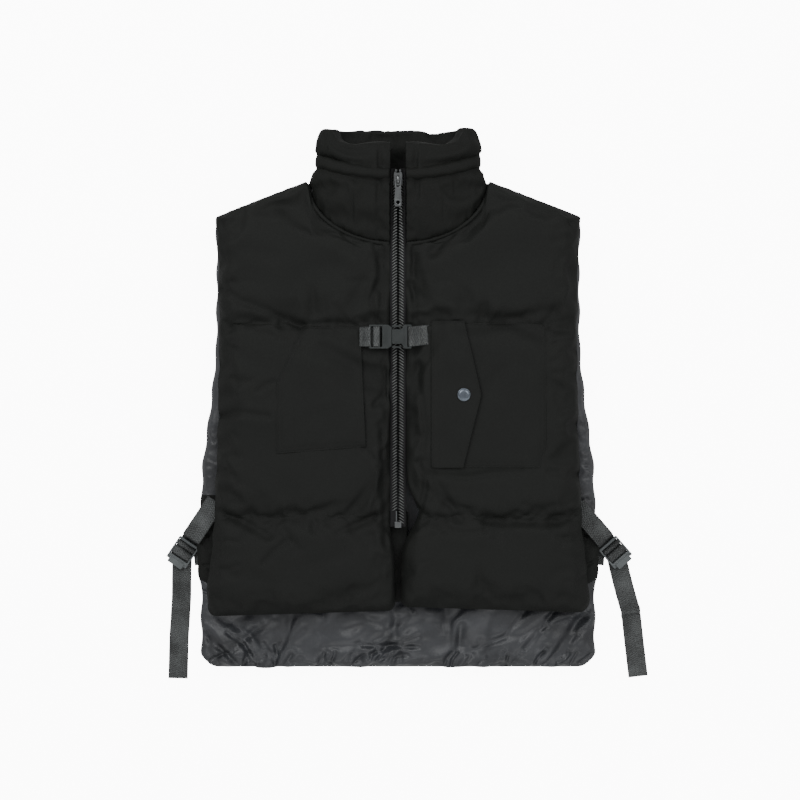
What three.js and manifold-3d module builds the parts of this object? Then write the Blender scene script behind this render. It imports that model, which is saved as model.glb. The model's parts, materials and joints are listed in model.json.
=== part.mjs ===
// Padded zip-front vest lying flat on its back.
// Millimetres. +Y runs up to the collar, +X to the wearer's left, +Z up out of the chest.
// The origin is on the floor, under the zip line at half height.
import * as THREE from 'three';
import { mergeVertices } from 'three/addons/utils/BufferGeometryUtils.js';
import Module from 'manifold-3d';

const wasm = await Module();
wasm.setup();

// ---------------------------------------------------------------- driving sizes
const gap = 0.3; // clearance between pieces that touch
const cloth = 1.2; // thickness of a sewn cloth layer
const padThickness = 26; // one padded panel, skin to lining
const padRound = 9; // rounding of a padded panel's edge
const bodyGap = 8; // space between front and back panels
const panelHalf = 235; // half width of the vest at the chest
const hemFlare = 23; // how much wider the back panel is near its hem
const shoulderOut = 5; // how far the shoulder's tip stands past the chest
const shoulderY = [236, 284]; // height of the shoulder line at its tip and at the neck
const shoulderDepth = 20; // width of the shoulder strip
const backHem = -355; // lower edge of the back panel
const frontRise = 78; // how much shorter the front panels are
const hemRound = 20; // hem corner radius
const zipHalf = 10.5; // half width of the strip the zip takes
const upperSeam = 94; // quilting seam above the pockets
const lowerSeam = -156; // quilting seam at the zip's end
const seamPinch = 2; // width a quilting seam keeps free of filling

const collarHalf = 116; // collar half width at its base
const collarRise = 20; // collar's front wall above the front panels
const collarDrop = 77; // how far the front collar seam dips below the shoulder
const collarBase = 277; // height of the collar seam at the sides
const collarTop = 351; // upper edge of the collar
const collarWall = 26; // padded collar wall
const collarFloor = 3; // underside of the collar
const weltWidth = 17; // raised band around the collar
const weltProud = 3; // how far the band stands out

const zipBottom = -162; // lower end of the zip
const zipTop = 295; // upper end of the zip
const zipDepth = 12; // depth of the zip below the panels' tops at its lower end
const zipRise = 14; // how much higher its upper end lies
const toothHalf = 2; // half thickness of the teeth
const toothWidth = 3; // one row of teeth
const toothSplit = 1.2; // half of the space between the rows
const sliderLength = 18;
const sliderHalf = 6;
const tabLength = 35;
const tabHalf = 5;

const webWidth = 25; // strap webbing
const webThick = 1.4;
const railWidth = 2.2; // side rails of the strap hardware
const buckleY = 78; // height of the chest buckle
const buckleRim = 3.1; // buckle body past the webbing's edge
const buckleLift = 4.6; // underside of the buckle above the panels
const buckleThick = 6.4;
const lockLength = 30; // ladder lock, along its strap
const lockZ = 2.4; // underside of a ladder lock
const lockThick = 4.4;

const pocketDepth = 6.2; // height of a patch pocket above the panel
const pocketWall = 3; // sewn edge of a patch pocket
const flapPivotX = 44.5; // where the pocket flap hinges
const snapX = 85; // snap button
const snapY = 3;

// ---------------------------------------------------------------- derived levels
const backTop = padThickness;
const frontLow = backTop + bodyGap;
const frontTop = frontLow + padThickness;
const onPanel = frontTop + gap;
const pocketTop = onPanel + pocketDepth;
const hemHalf = panelHalf + hemFlare;
const shoulderTip = [panelHalf + shoulderOut, shoulderY[0]];
const shoulderNeck = [collarHalf + 1, shoulderY[1]];
const frontHem = backHem + frontRise;
const collarHeight = frontTop + collarRise;
const zipLowZ = frontTop - zipDepth;
const buckleHalf = webWidth / 2 + buckleRim;
const buckleZ = frontTop + buckleLift;
const stayOut = 300; // reach of cutting blocks

// ---------------------------------------------------------------- materials
const finish = (color, roughness, metalness = 0) =>
  new THREE.MeshStandardMaterial({ color, roughness, metalness });
const shellCloth = () => finish(0x232423, 0.85);
const collarCloth = () => finish(0x1f201e, 0.85);
const liningCloth = () => finish(0x4b4d50, 0.45);
const wadding = () => finish(0xd8d8d4, 1);
const webbing = () => finish(0x4c4e50, 0.7);
const plastic = () => finish(0x393e3e, 0.45);
const zipTape = () => finish(0x2b2b2b, 0.8);
const zipMetal = () => finish(0x3c3c3c, 0.35, 0.7);
const snapMetal = () => finish(0x5d636a, 0.35, 0.8);

// ---------------------------------------------------------------- shape helpers
// A closed outline from [x, y, cornerRadius] points; a corner without a radius stays sharp.
function outline(points) {
  const shape = new THREE.Shape();
  points.forEach(([x, y, radius = 0], index) => {
    const corner = new THREE.Vector2(x, y);
    const before = points[(index + points.length - 1) % points.length];
    const after = points[(index + 1) % points.length];
    const back = new THREE.Vector2(before[0], before[1]).sub(corner).normalize();
    const ahead = new THREE.Vector2(after[0], after[1]).sub(corner).normalize();
    const reach = radius / Math.tan(back.angleTo(ahead) / 2);
    const start = corner.clone().addScaledVector(back, reach);
    const end = corner.clone().addScaledVector(ahead, reach);
    if (index === 0) shape.moveTo(start.x, start.y);
    else shape.lineTo(start.x, start.y);
    if (radius > 0) shape.quadraticCurveTo(x, y, end.x, end.y);
  });
  shape.closePath();
  return shape;
}

// A flat ribbon of the given thickness along a line of [a, b] points.
function ribbon(points, thickness) {
  const line = points.map(([a, b]) => new THREE.Vector2(a, b));
  const side = (sign) =>
    line.map((point, index) => {
      const before = line[Math.max(index - 1, 0)];
      const after = line[Math.min(index + 1, line.length - 1)];
      const incoming = point.clone().sub(before).normalize();
      const outgoing = after.clone().sub(point).normalize();
      const along = incoming.clone().add(outgoing).normalize();
      const straight = index === 0 || index === line.length - 1;
      const lean = straight ? 1 : along.dot(outgoing);
      const reach = (sign * thickness) / 2 / lean;
      return [point.x - along.y * reach, point.y + along.x * reach];
    });
  return outline([...side(1), ...side(-1).reverse()]);
}

// An upright prism of an outline, its edge drawn in by inset and rounded by round.
function prism(shape, low, high, { inset = 0, round = 0, segments = 2, curves = 3 } = {}) {
  const bevelled = inset > 0 || round > 0;
  const edge = Math.max(round, bevelled ? gap / 3 : 0);
  const geometry = new THREE.ExtrudeGeometry(shape, {
    depth: high - low - 2 * edge,
    bevelEnabled: bevelled,
    bevelThickness: edge,
    bevelSize: edge,
    bevelOffset: -edge - inset,
    bevelSegments: round > 0 ? segments : 1,
    curveSegments: curves,
  });
  return solid(geometry.translate(0, 0, low + edge));
}

function solid(geometry) {
  const bare = geometry.clone();
  bare.deleteAttribute('normal');
  bare.deleteAttribute('uv');
  const merged = mergeVertices(bare, 1e-4);
  return new wasm.Manifold(
    new wasm.Mesh({
      numProp: 3,
      vertProperties: new Float32Array(merged.attributes.position.array),
      triVerts: new Uint32Array(merged.index.array),
    }),
  );
}

const box = (x0, x1, y0, y1, z0, z1) =>
  solid(
    new THREE.BoxGeometry(x1 - x0, y1 - y0, z1 - z0).translate(
      (x0 + x1) / 2,
      (y0 + y1) / 2,
      (z0 + z1) / 2,
    ),
  );

// A shape drawn in the XZ plane and drawn out along Y.
function alongY(shape, y0, y1, steps = 1) {
  const geometry = new THREE.ExtrudeGeometry(shape, {
    depth: y1 - y0,
    steps,
    bevelEnabled: false,
    curveSegments: 4,
  });
  return geometry.rotateX(Math.PI / 2).translate(0, y1, 0);
}

// A shape drawn in the YZ plane and drawn out along X.
function alongX(shape, x0, x1) {
  const geometry = new THREE.ExtrudeGeometry(shape, { depth: x1 - x0, bevelEnabled: false });
  const turn = new THREE.Matrix4().makeBasis(
    new THREE.Vector3(0, 1, 0),
    new THREE.Vector3(0, 0, 1),
    new THREE.Vector3(1, 0, 0),
  );
  return solid(geometry.applyMatrix4(turn).translate(x0, 0, 0));
}

function disc(radius, low, high, sides = 24) {
  const profile = [[0, low], [radius, low], [radius, high], [0, high]];
  return turned(profile, sides);
}

function turned(profile, sides = 24) {
  const points = profile.map(([r, z]) => new THREE.Vector2(r, z));
  return solid(new THREE.LatheGeometry(points, sides).rotateX(Math.PI / 2));
}

const vest = new THREE.Group();

function add(name, body, material, parent = vest) {
  const found = body.getMesh();
  const geometry = new THREE.BufferGeometry();
  geometry.setAttribute('position', new THREE.BufferAttribute(found.vertProperties, 3));
  geometry.setIndex(new THREE.BufferAttribute(found.triVerts, 1));
  geometry.computeVertexNormals();
  const mesh = new THREE.Mesh(geometry, material);
  mesh.name = name;
  parent.add(mesh);
  return mesh;
}

// ---------------------------------------------------------------- body panels
const shoulder = {
  tip: new THREE.Vector2(...shoulderTip),
  neck: new THREE.Vector2(...shoulderNeck),
};
shoulder.run = shoulder.neck.clone().sub(shoulder.tip).normalize();
shoulder.down = new THREE.Vector2(-shoulder.run.y, shoulder.run.x);
const belowShoulder = (point, depth) => {
  const moved = point.clone().addScaledVector(shoulder.down, depth);
  return [moved.x, moved.y];
};
const mirrored = (points) => points.map(([x, y, radius]) => [-x, y, radius]).reverse();

const strapLevel = -234; // where the back panel is widest
const backSide = [
  [hemHalf, backHem, hemRound],
  [hemHalf + 1, strapLevel],
  [hemHalf - 4, -90],
  [panelHalf + 6, 0],
  [panelHalf, 61],
  [panelHalf, 178],
  belowShoulder(shoulder.tip, shoulderDepth + gap),
  belowShoulder(shoulder.neck, shoulderDepth + gap),
];
const neckLine = collarBase - 1 - gap;
const backShape = outline([
  ...backSide,
  [collarHalf - 8, neckLine - 14],
  [collarHalf - 26, neckLine],
  [26 - collarHalf, neckLine],
  [8 - collarHalf, neckLine - 14],
  ...mirrored(backSide),
]);

const splitHalf = 3.2; // half of the slit below the zip
const splitTop = zipBottom - 10; // where the front edges begin to close in
const frontSide = [
  [splitHalf, frontHem + 4, 14],
  [panelHalf + 11, frontHem - 2, hemRound],
  [panelHalf + 15, -224],
  [panelHalf + 7, -151],
  [panelHalf + 1, -100],
  [panelHalf - 1, 61],
  belowShoulder(shoulder.tip, shoulderDepth + gap),
  belowShoulder(shoulder.neck, shoulderDepth + gap),
  [zipHalf, collarBase - 14],
  [zipHalf, splitTop],
  [splitHalf, splitTop - 40],
];
const neckCut = (clearance) => {
  const shape = new THREE.Shape();
  const wide = collarHalf + clearance;
  const deep = collarDrop + clearance;
  shape.absellipse(0, collarBase, wide, deep, 0, 2 * Math.PI, false, 0);
  return shape;
};
const neckBlock = (clearance) =>
  prism(neckCut(clearance), -stayOut, stayOut, { curves: 28 });

const channels = {
  upper: [upperSeam + seamPinch / 2, collarTop],
  middle: [lowerSeam + seamPinch / 2, upperSeam - seamPinch / 2],
  lower: [backHem - hemRound, lowerSeam - seamPinch / 2],
};

// One padded panel: skin tray, a filling pad per quilted channel, and a flat lining.
function paddedPanel(name, shape, skinZ, liningZ, cut) {
  const up = Math.sign(skinZ - liningZ);
  const level = (a, b) => [Math.min(a, b), Math.max(a, b)];
  const half = box(-2 * stayOut, 2 * stayOut, -2 * stayOut, 2 * stayOut, ...level(liningZ, skinZ));
  const beyond = liningZ - up * (padRound + 5);
  const block = (inset, skin) =>
    prism(shape, ...level(beyond, skinZ - up * skin), { inset, round: padRound });
  const trim = (body, clearance) => (cut ? body.subtract(cut(clearance)) : body);
  const outer = trim(block(0, 0), 0).intersect(half);
  add(`${name}_shell`, outer.subtract(block(cloth, cloth)), shellCloth());
  const loose = cloth + gap;
  const room = trim(block(loose, loose), loose);
  for (const [channel, [y0, y1]] of Object.entries(channels)) {
    const levels = level(liningZ + up * loose, skinZ);
    const slice = box(-2 * stayOut, 2 * stayOut, y0, y1, ...levels);
    add(`${name}_fill_${channel}`, room.intersect(slice), wadding());
  }
  const sheet = prism(shape, ...level(liningZ, liningZ + up * cloth), { inset: loose });
  add(`${name}_lining`, trim(sheet, loose), liningCloth());
}

const cutForCollar = (clearance) => neckBlock(gap + clearance);
paddedPanel('back', backShape, 0, backTop);
paddedPanel('left_front', outline(frontSide), frontTop, frontLow, cutForCollar);
paddedPanel('right_front', outline(mirrored(frontSide)), frontTop, frontLow, cutForCollar);

// Shoulder strips join the front to the back; gussets close the sides under the arms.
const stripRound = 7;
for (const [side, flip] of [['left', (p) => p], ['right', mirrored]]) {
  const strip = outline(flip([
    [...shoulderTip],
    [...shoulderNeck],
    belowShoulder(shoulder.neck, shoulderDepth),
    belowShoulder(shoulder.tip, shoulderDepth),
  ]));
  const strap = prism(strip, collarFloor, frontTop - 2, { round: stripRound });
  add(`${side}_shoulder`, strap.subtract(neckBlock(gap)), shellCloth());
  const gusset = outline(flip([
    [panelHalf - 12, -10],
    [panelHalf - 2, -10],
    [panelHalf - 2, 61],
    [panelHalf - 12, 61],
  ]));
  add(`${side}_underarm_gusset`, prism(gusset, backTop + gap, frontLow - gap), shellCloth());
}

// ---------------------------------------------------------------- collar
const collarProfile = new THREE.SplineCurve([
  new THREE.Vector2(collarBase - 110, collarHalf),
  new THREE.Vector2(collarBase, collarHalf),
  new THREE.Vector2(collarBase + 18, collarHalf - 7),
  new THREE.Vector2(collarBase + 46, collarHalf - 10),
  new THREE.Vector2(collarTop - 8, collarHalf - 15),
  new THREE.Vector2(collarTop, collarHalf - 20),
]);
const profilePoints = collarProfile.getPoints(40);

function collarHalfAt(y) {
  const next = profilePoints.findIndex((point) => point.x > y);
  if (next < 0) return profilePoints[profilePoints.length - 1].y;
  if (next === 0) return profilePoints[0].y;
  const before = profilePoints[next - 1];
  const after = profilePoints[next];
  return THREE.MathUtils.mapLinear(y, before.x, after.x, before.y, after.y);
}

const collarSeamY = neckLine + gap; // straight seam across the back of the neck
const bibBottom = collarBase - collarDrop - 2; // lowest point of the front collar seam

// A rounded tube around the neck, narrowing to the collar's top, offset by proud.
function neckTube(inward, proud, y0, y1) {
  const half = collarHalf - inward + proud;
  const low = collarFloor + inward - proud;
  const high = collarHeight - inward + proud;
  const corner = Math.min(38, (high - low) / 2 - 1);
  const section = outline([
    [-half, low, corner],
    [half, low, corner],
    [half, high, corner],
    [-half, high, corner],
  ]);
  const geometry = alongY(section, bibBottom - 30, collarTop + 10, 9);
  const place = geometry.attributes.position;
  for (let i = 0; i < place.count; i += 1) {
    const narrower = collarHalf - collarHalfAt(place.getY(i));
    const x = place.getX(i);
    place.setX(i, x * (1 - narrower / half));
  }
  const reach = 2 * stayOut;
  return solid(geometry).intersect(box(-reach, reach, y0, y1, -reach, reach));
}

const mouthY = collarBase - 9; // where the neck hole begins
function collarSide(drop, low, top) {
  return alongX(
    outline([
      [bibBottom, frontLow - low],
      [collarSeamY - low, collarHeight - collarWall - 2 - low],
      [collarSeamY - low, -low],
      [top, -low],
      [top, collarHeight + 1],
      [collarBase + 4, collarHeight + 1],
      [collarBase + 4, collarHeight - drop],
      [bibBottom, frontTop - drop],
    ]),
    -stayOut,
    stayOut,
  );
}

const collarPlan = (clearance) =>
  neckBlock(-clearance).add(
    box(-stayOut, stayOut, collarSeamY, collarTop + 1, -stayOut, stayOut),
  );
const zipSlot = box(-zipHalf, zipHalf, 0, collarTop + 20, collarHeight / 2 + 6, stayOut);
const collarWhole = neckTube(0, 0, bibBottom - 10, collarTop)
  .intersect(collarSide(0, 0, collarTop))
  .intersect(collarPlan(0));
const collarCore = neckTube(0, -cloth, bibBottom - 20, collarTop + 5)
  .intersect(collarSide(cloth, stayOut, collarTop + 10));
add('collar_shell', collarWhole.subtract(collarCore).subtract(zipSlot), collarCloth());

const neckHole = (proud) => neckTube(collarWall, proud, mouthY - proud, collarTop + 10);
const loose = cloth + gap;
const collarFill = neckTube(0, -loose, bibBottom - 10, collarTop - loose)
  .intersect(collarSide(loose, 0, collarTop))
  .intersect(collarPlan(loose))
  .subtract(neckHole(loose))
  .subtract(zipSlot);
add('collar_fill', collarFill, wadding());
const collarLining = neckHole(cloth)
  .subtract(neckHole(0))
  .intersect(box(-stayOut, stayOut, collarBase, collarTop - loose, 0, stayOut))
  .subtract(zipSlot);
add('collar_lining', collarLining, collarCloth());

// The raised band dips at the throat and climbs towards the sides.
const weltLow = (x) => collarBase + 2 + 19 * (x / collarHalf) ** 2;
const weltSteps = Array.from({ length: 9 }, (_, i) => (i - 4) * (collarHalf + 10) / 4);
const weltShape = outline([
  ...weltSteps.map((x) => [x, weltLow(x)]),
  ...weltSteps.reverse().map((x) => [x, weltLow(x) + weltWidth]),
]);
const weltRing = neckTube(0, weltProud + gap, collarBase - 10, collarTop)
  .subtract(neckTube(0, gap, collarBase - 20, collarTop + 5))
  .intersect(prism(weltShape, -stayOut, stayOut))
  .intersect(box(-stayOut, stayOut, 0, 2 * stayOut, frontTop / 2, stayOut));
const weltHalf = weltRing.intersect(box(zipHalf, stayOut, 0, 2 * stayOut, 0, stayOut));
const weltOther = weltRing.intersect(box(-stayOut, -zipHalf, 0, 2 * stayOut, 0, stayOut));
add('left_collar_welt', weltHalf, collarCloth());
add('right_collar_welt', weltOther, collarCloth());

// ---------------------------------------------------------------- pockets
function patchPocket(name, corners, cavity) {
  const patch = prism(outline(corners), onPanel, pocketTop);
  const hollow = prism(outline(cavity), onPanel - 1, pocketTop - cloth);
  add(name, patch.subtract(hollow), shellCloth());
}
const w = pocketWall;
patchPocket(
  'right_chest_pocket',
  [[-124, 92], [-49, 92], [-47, 65], [-41, -65], [-158, -74], [-158, 17]],
  [[-124 + w, 92 - w], [-30, 92 - w], [-30, -65 + w], [-158 + w, -74 + w], [-158 + w, 17]],
);
const pocketMouthX = 58;
patchPocket(
  'left_chest_pocket',
  [[pocketMouthX, -92], [184, -92, 4], [192, -62], [192, 97, 13], [pocketMouthX, 97]],
  [[30, -92 + w], [184 - w, -92 + w], [192 - w, -62], [192 - w, 97 - w, 10], [30, 97 - w]],
);

// The flap hinges on its sewn root and closes over the pocket's mouth.
const flapLow = pocketTop + 3;
const flapHigh = flapLow + cloth;
const flapPivotZ = (flapLow + flapHigh) / 2;
const rootHalf = 2.6;
const flapInner = flapPivotX + 2.2;
const root = prism(
  outline([
    [flapPivotX - rootHalf, -92],
    [flapPivotX + rootHalf, -92],
    [flapPivotX + rootHalf, 99],
    [flapPivotX - rootHalf, 99],
  ]),
  onPanel,
  flapPivotZ - rootHalf - gap,
);
add('left_flap_root', root, shellCloth());
const flap = prism(
  outline([[flapInner, -92], [84.5, -92], [108, 3, 6], [86, 99], [flapInner, 99]]),
  flapLow,
  flapHigh,
);
const flapPost = disc(2, flapLow - 1, flapHigh + 1).translate([snapX, snapY, 0]);
add('left_pocket_flap', flap.subtract(flapPost), shellCloth());

const capRadius = 8.5;
const cap = turned([
  [0, -gap - 1.6],
  [1.5, -gap - 1.6],
  [1.5, gap],
  [capRadius - 1, gap],
  [capRadius, gap + 0.5],
  [capRadius - 0.6, gap + 1.6],
  [capRadius - 2, gap + 2],
  [0, gap + 1.5],
]);
add('snap_cap', cap.translate([snapX, snapY, flapHigh]), snapMetal());
const stud = turned([[0, gap], [5.5, gap], [5.5, 0.9], [1.4, 0.9], [1.4, 1.5], [0, 1.5]]);
add('snap_stud', stud.translate([snapX, snapY, pocketTop]), snapMetal());
const socketRing = turned([[2, 1.3], [6, 1.3], [6, 3 - gap], [2, 3 - gap], [2, 1.3]]);
add('snap_socket', socketRing.translate([snapX, snapY, pocketTop]), snapMetal());

// ---------------------------------------------------------------- zip
const zipAngle = Math.atan2(zipRise, zipTop - zipBottom);
const zip = new THREE.Group();
zip.position.set(0, zipBottom, zipLowZ);
zip.rotation.x = zipAngle;
vest.add(zip);
const zipLength = (zipTop - zipBottom) / Math.cos(zipAngle);

const pinLength = 14;
const stopLength = 3;
const toothOuter = toothSplit + toothWidth;
const tapeInner = toothOuter + gap;
for (const [side, sign] of [['left', 1], ['right', -1]]) {
  const spread = (a, b) => [Math.min(sign * a, sign * b), Math.max(sign * a, sign * b)];
  const tape = box(...spread(tapeInner, zipHalf - gap), -8, zipLength + 3, -0.4, 0.4);
  add(`zip_tape_${side}`, tape, zipTape(), zip);
  const start = sign > 0 ? gap : pinLength + gap;
  const end = zipLength - stopLength - gap;
  const row = box(...spread(toothSplit, toothOuter), start, end, -toothHalf, toothHalf);
  add(`zip_teeth_${side}`, row, zipMetal(), zip);
  const stop = box(...spread(toothSplit, toothOuter), end + gap, zipLength, -2.4, 2.4);
  add(`zip_top_stop_${side}`, stop, zipMetal(), zip);
}
const pinInner = toothSplit;
const pinOuter = toothSplit + 1.8;
const retainer = box(-toothOuter, toothOuter, -8, 0, -2.8, 2.8).subtract(
  box(-pinOuter - gap, -pinInner + gap, -9, 1, -1.2, 1.2),
);
add('zip_retainer_box', retainer, zipMetal(), zip);
add('zip_insertion_pin', box(-pinOuter, -pinInner, -7, pinLength, -0.9, 0.9), zipMetal(), zip);

// Slider: two plates joined by a post between the rows, lips down over the tape, a bridge on top.
const plateIn = toothHalf + 0.4;
const plateOut = plateIn + 1.4;
const lip = 0.4 + 0.4;
const sliderTop = zipLength - stopLength - 0.5;
const sliderLow = sliderTop - sliderLength;
const flange = toothOuter + 0.4;
const pivotY = sliderLow + 7;
const pivotZ = plateOut + 1.4;
const bridgeLow = pivotZ + 1.5;
const bridgeHigh = bridgeLow + 1.2;
let slider = box(-sliderHalf, sliderHalf, sliderLow, sliderTop, plateIn, plateOut)
  .add(box(-sliderHalf, sliderHalf, sliderLow, sliderTop, -plateOut, -plateIn))
  .add(box(-0.8, 0.8, sliderTop - 5, sliderTop, -plateIn - 0.2, plateIn + 0.2));
for (const sign of [1, -1]) {
  const [x0, x1] = sign > 0 ? [flange, sliderHalf] : [-sliderHalf, -flange];
  slider = slider
    .add(box(x0, x1, sliderLow, sliderTop, lip, plateOut))
    .add(box(x0, x1, sliderLow, sliderTop, -plateOut, -lip));
}
const bridgePost = (y) => box(-1.5, 1.5, y, y + 1.8, plateOut - 0.3, bridgeHigh);
slider = slider
  .add(bridgePost(pivotY - 4.4))
  .add(bridgePost(pivotY + 5))
  .add(box(-1.5, 1.5, pivotY - 4.4, pivotY + 6.8, bridgeLow, bridgeHigh));
add('zip_slider', slider, zipMetal(), zip);

const tabThick = 1.5;
const tab = prism(
  outline([
    [-tabHalf, pivotY + 1 - tabLength, 3],
    [tabHalf, pivotY + 1 - tabLength, 3],
    [tabHalf, pivotY + 1],
    [-tabHalf, pivotY + 1],
  ]),
  pivotZ - tabThick / 2,
  pivotZ + tabThick / 2,
)
  .subtract(box(-2.5, 2.5, pivotY - 8.5, pivotY - 1, 0, stayOut))
  .subtract(
    disc(2.2, 0, stayOut, 16).translate([0, pivotY - tabLength + 6, 0]),
  );
add('zip_pull_tab', tab, zipMetal(), zip);

// ---------------------------------------------------------------- chest buckle
const buckleTop = buckleZ + buckleThick;
const chest = new THREE.Group();
chest.position.y = buckleY;
vest.add(chest);
const slotHalf = webWidth / 2 + 0.6;
const plugEnd = -8;
const tongueHalf = 6;
const tongueMid = (buckleZ + buckleTop) / 2;
const tongueReach = 9;
const plugShape = outline([
  [-37.5, -buckleHalf, 1.5],
  [-13, -buckleHalf, 1.5],
  [plugEnd, 3.6 - buckleHalf],
  [plugEnd, buckleHalf - 3.6],
  [-13, buckleHalf, 1.5],
  [-37.5, buckleHalf, 1.5],
]);
const plug = prism(plugShape, buckleZ, buckleTop - 0.6)
  .subtract(box(-34.8, -31.5, -slotHalf, slotHalf, 0, stayOut))
  .subtract(box(-23.5, -20.7, -slotHalf, slotHalf, 0, stayOut))
  .add(box(plugEnd - 1, tongueReach, -tongueHalf, tongueHalf, tongueMid - 0.9, tongueMid + 0.9));
add('buckle_plug', plug, plastic(), chest);

const prongRoot = 1.55;
const prongX = plugEnd + gap + prongRoot;
const prongY = buckleHalf - 2.25;
const prongTip = 4.3;
for (const [name, sign] of [['upper', 1], ['lower', -1]]) {
  const arm = outline([
    [prongX, prongY - prongRoot],
    [prongTip - 2, prongY - prongRoot],
    [prongTip, prongY - 0.6],
    [prongTip, prongY + prongRoot - 1],
    [prongX, prongY + prongRoot],
  ].map(([x, y]) => [x, sign * y]));
  const root = disc(prongRoot, buckleZ + 0.8, buckleTop - 1.2, 16);
  const body = prism(arm, buckleZ + 0.8, buckleTop - 1.2).add(root.translate([prongX, sign * prongY, 0]));
  add(`buckle_prong_${name}`, body, plastic(), chest);
}

const waist = buckleHalf - 6.1;
const socketMouth = plugEnd + gap;
const barLeft = 14.8;
const barRight = 17.6;
const socketShape = outline([
  [socketMouth, -waist],
  [prongTip + 0.6, -waist],
  [prongTip + 3.6, -buckleHalf],
  [barRight, -buckleHalf, 1.5],
  [barRight, buckleHalf, 1.5],
  [prongTip + 3.6, buckleHalf],
  [prongTip + 0.6, waist],
  [socketMouth, waist],
]);
const tongueSlot = [-tongueHalf - 0.5, tongueHalf + 0.5, tongueMid - 1.3, tongueMid + 1.3];
const socket = prism(socketShape, buckleZ, buckleTop)
  .subtract(box(socketMouth - 1, tongueReach + 0.6, tongueSlot[0], tongueSlot[1], tongueSlot[2], tongueSlot[3]))
  .subtract(box(12.2, barLeft, -slotHalf, slotHalf, 0, stayOut))
  .subtract(box(barLeft - 1, barRight + 1, -slotHalf, slotHalf, buckleTop - 1.4, stayOut))
  .subtract(box(barLeft - 1, barRight + 1, -slotHalf, slotHalf, 0, buckleZ + 1.4));
add('buckle_socket', socket, plastic(), chest);

// Webbing drawn as a side view in X and Z, then laid out across its width.
function webBand(points, y0, y1, thickness = webThick) {
  return solid(alongY(ribbon(points, thickness), y0, y1));
}
const strapHalf = webWidth / 2;
const overBar = buckleTop - 0.6 + gap + webThick / 2;
const rightStrap = webBand(
  [
    [-46.3, onPanel + 1],
    [-39, onPanel + 1.6],
    [-34.2, buckleZ - 0.6],
    [-33.1, buckleTop - 1],
    [-32, overBar],
    [-23, overBar],
    [-22.1, buckleTop - 1],
    [-22.1, buckleZ - 1.4],
  ],
  -strapHalf,
  strapHalf,
);
add('chest_strap_right', rightStrap, webbing(), chest);
const wrapTop = buckleTop - 1.4 + gap + webThick / 2;
const wrapLow = buckleZ + 1.4 - gap - webThick / 2;
const wrapX = barLeft - gap - webThick / 2;
const leftStrap = webBand(
  [
    [38.4, onPanel + 3],
    [27, onPanel + 5.4],
    [barRight + 0.5, wrapTop],
    [wrapX + 0.9, wrapTop],
    [wrapX, wrapTop - 0.9],
    [wrapX, wrapLow + 0.9],
    [wrapX + 0.9, wrapLow],
    [barRight + 0.5, wrapLow],
    [27, onPanel + 1.6],
    [38.4, onPanel + 0.8],
  ],
  -strapHalf,
  strapHalf,
);
add('chest_strap_left', leftStrap, webbing(), chest);

// ---------------------------------------------------------------- side straps and ladder locks
// Each side has its own frame: +Y towards the vest along the strap, origin at the lock's middle.
const sides = [
  { side: 'right', at: [-hemHalf - 27, -206], turn: -34, tailTurn: 32 },
  { side: 'left', at: [hemHalf + 30, -206], turn: 41, tailTurn: -31 },
];
const lockHalf = slotHalf + railWidth;
const lockTop = lockZ + lockThick;
const lockBar = lockLength / 2;

// Side view of webbing in the strap's Y and Z, laid out across the strap.
const strapBand = (points, thickness = webThick) =>
  alongX(ribbon(points, thickness), -strapHalf, strapHalf);

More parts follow.
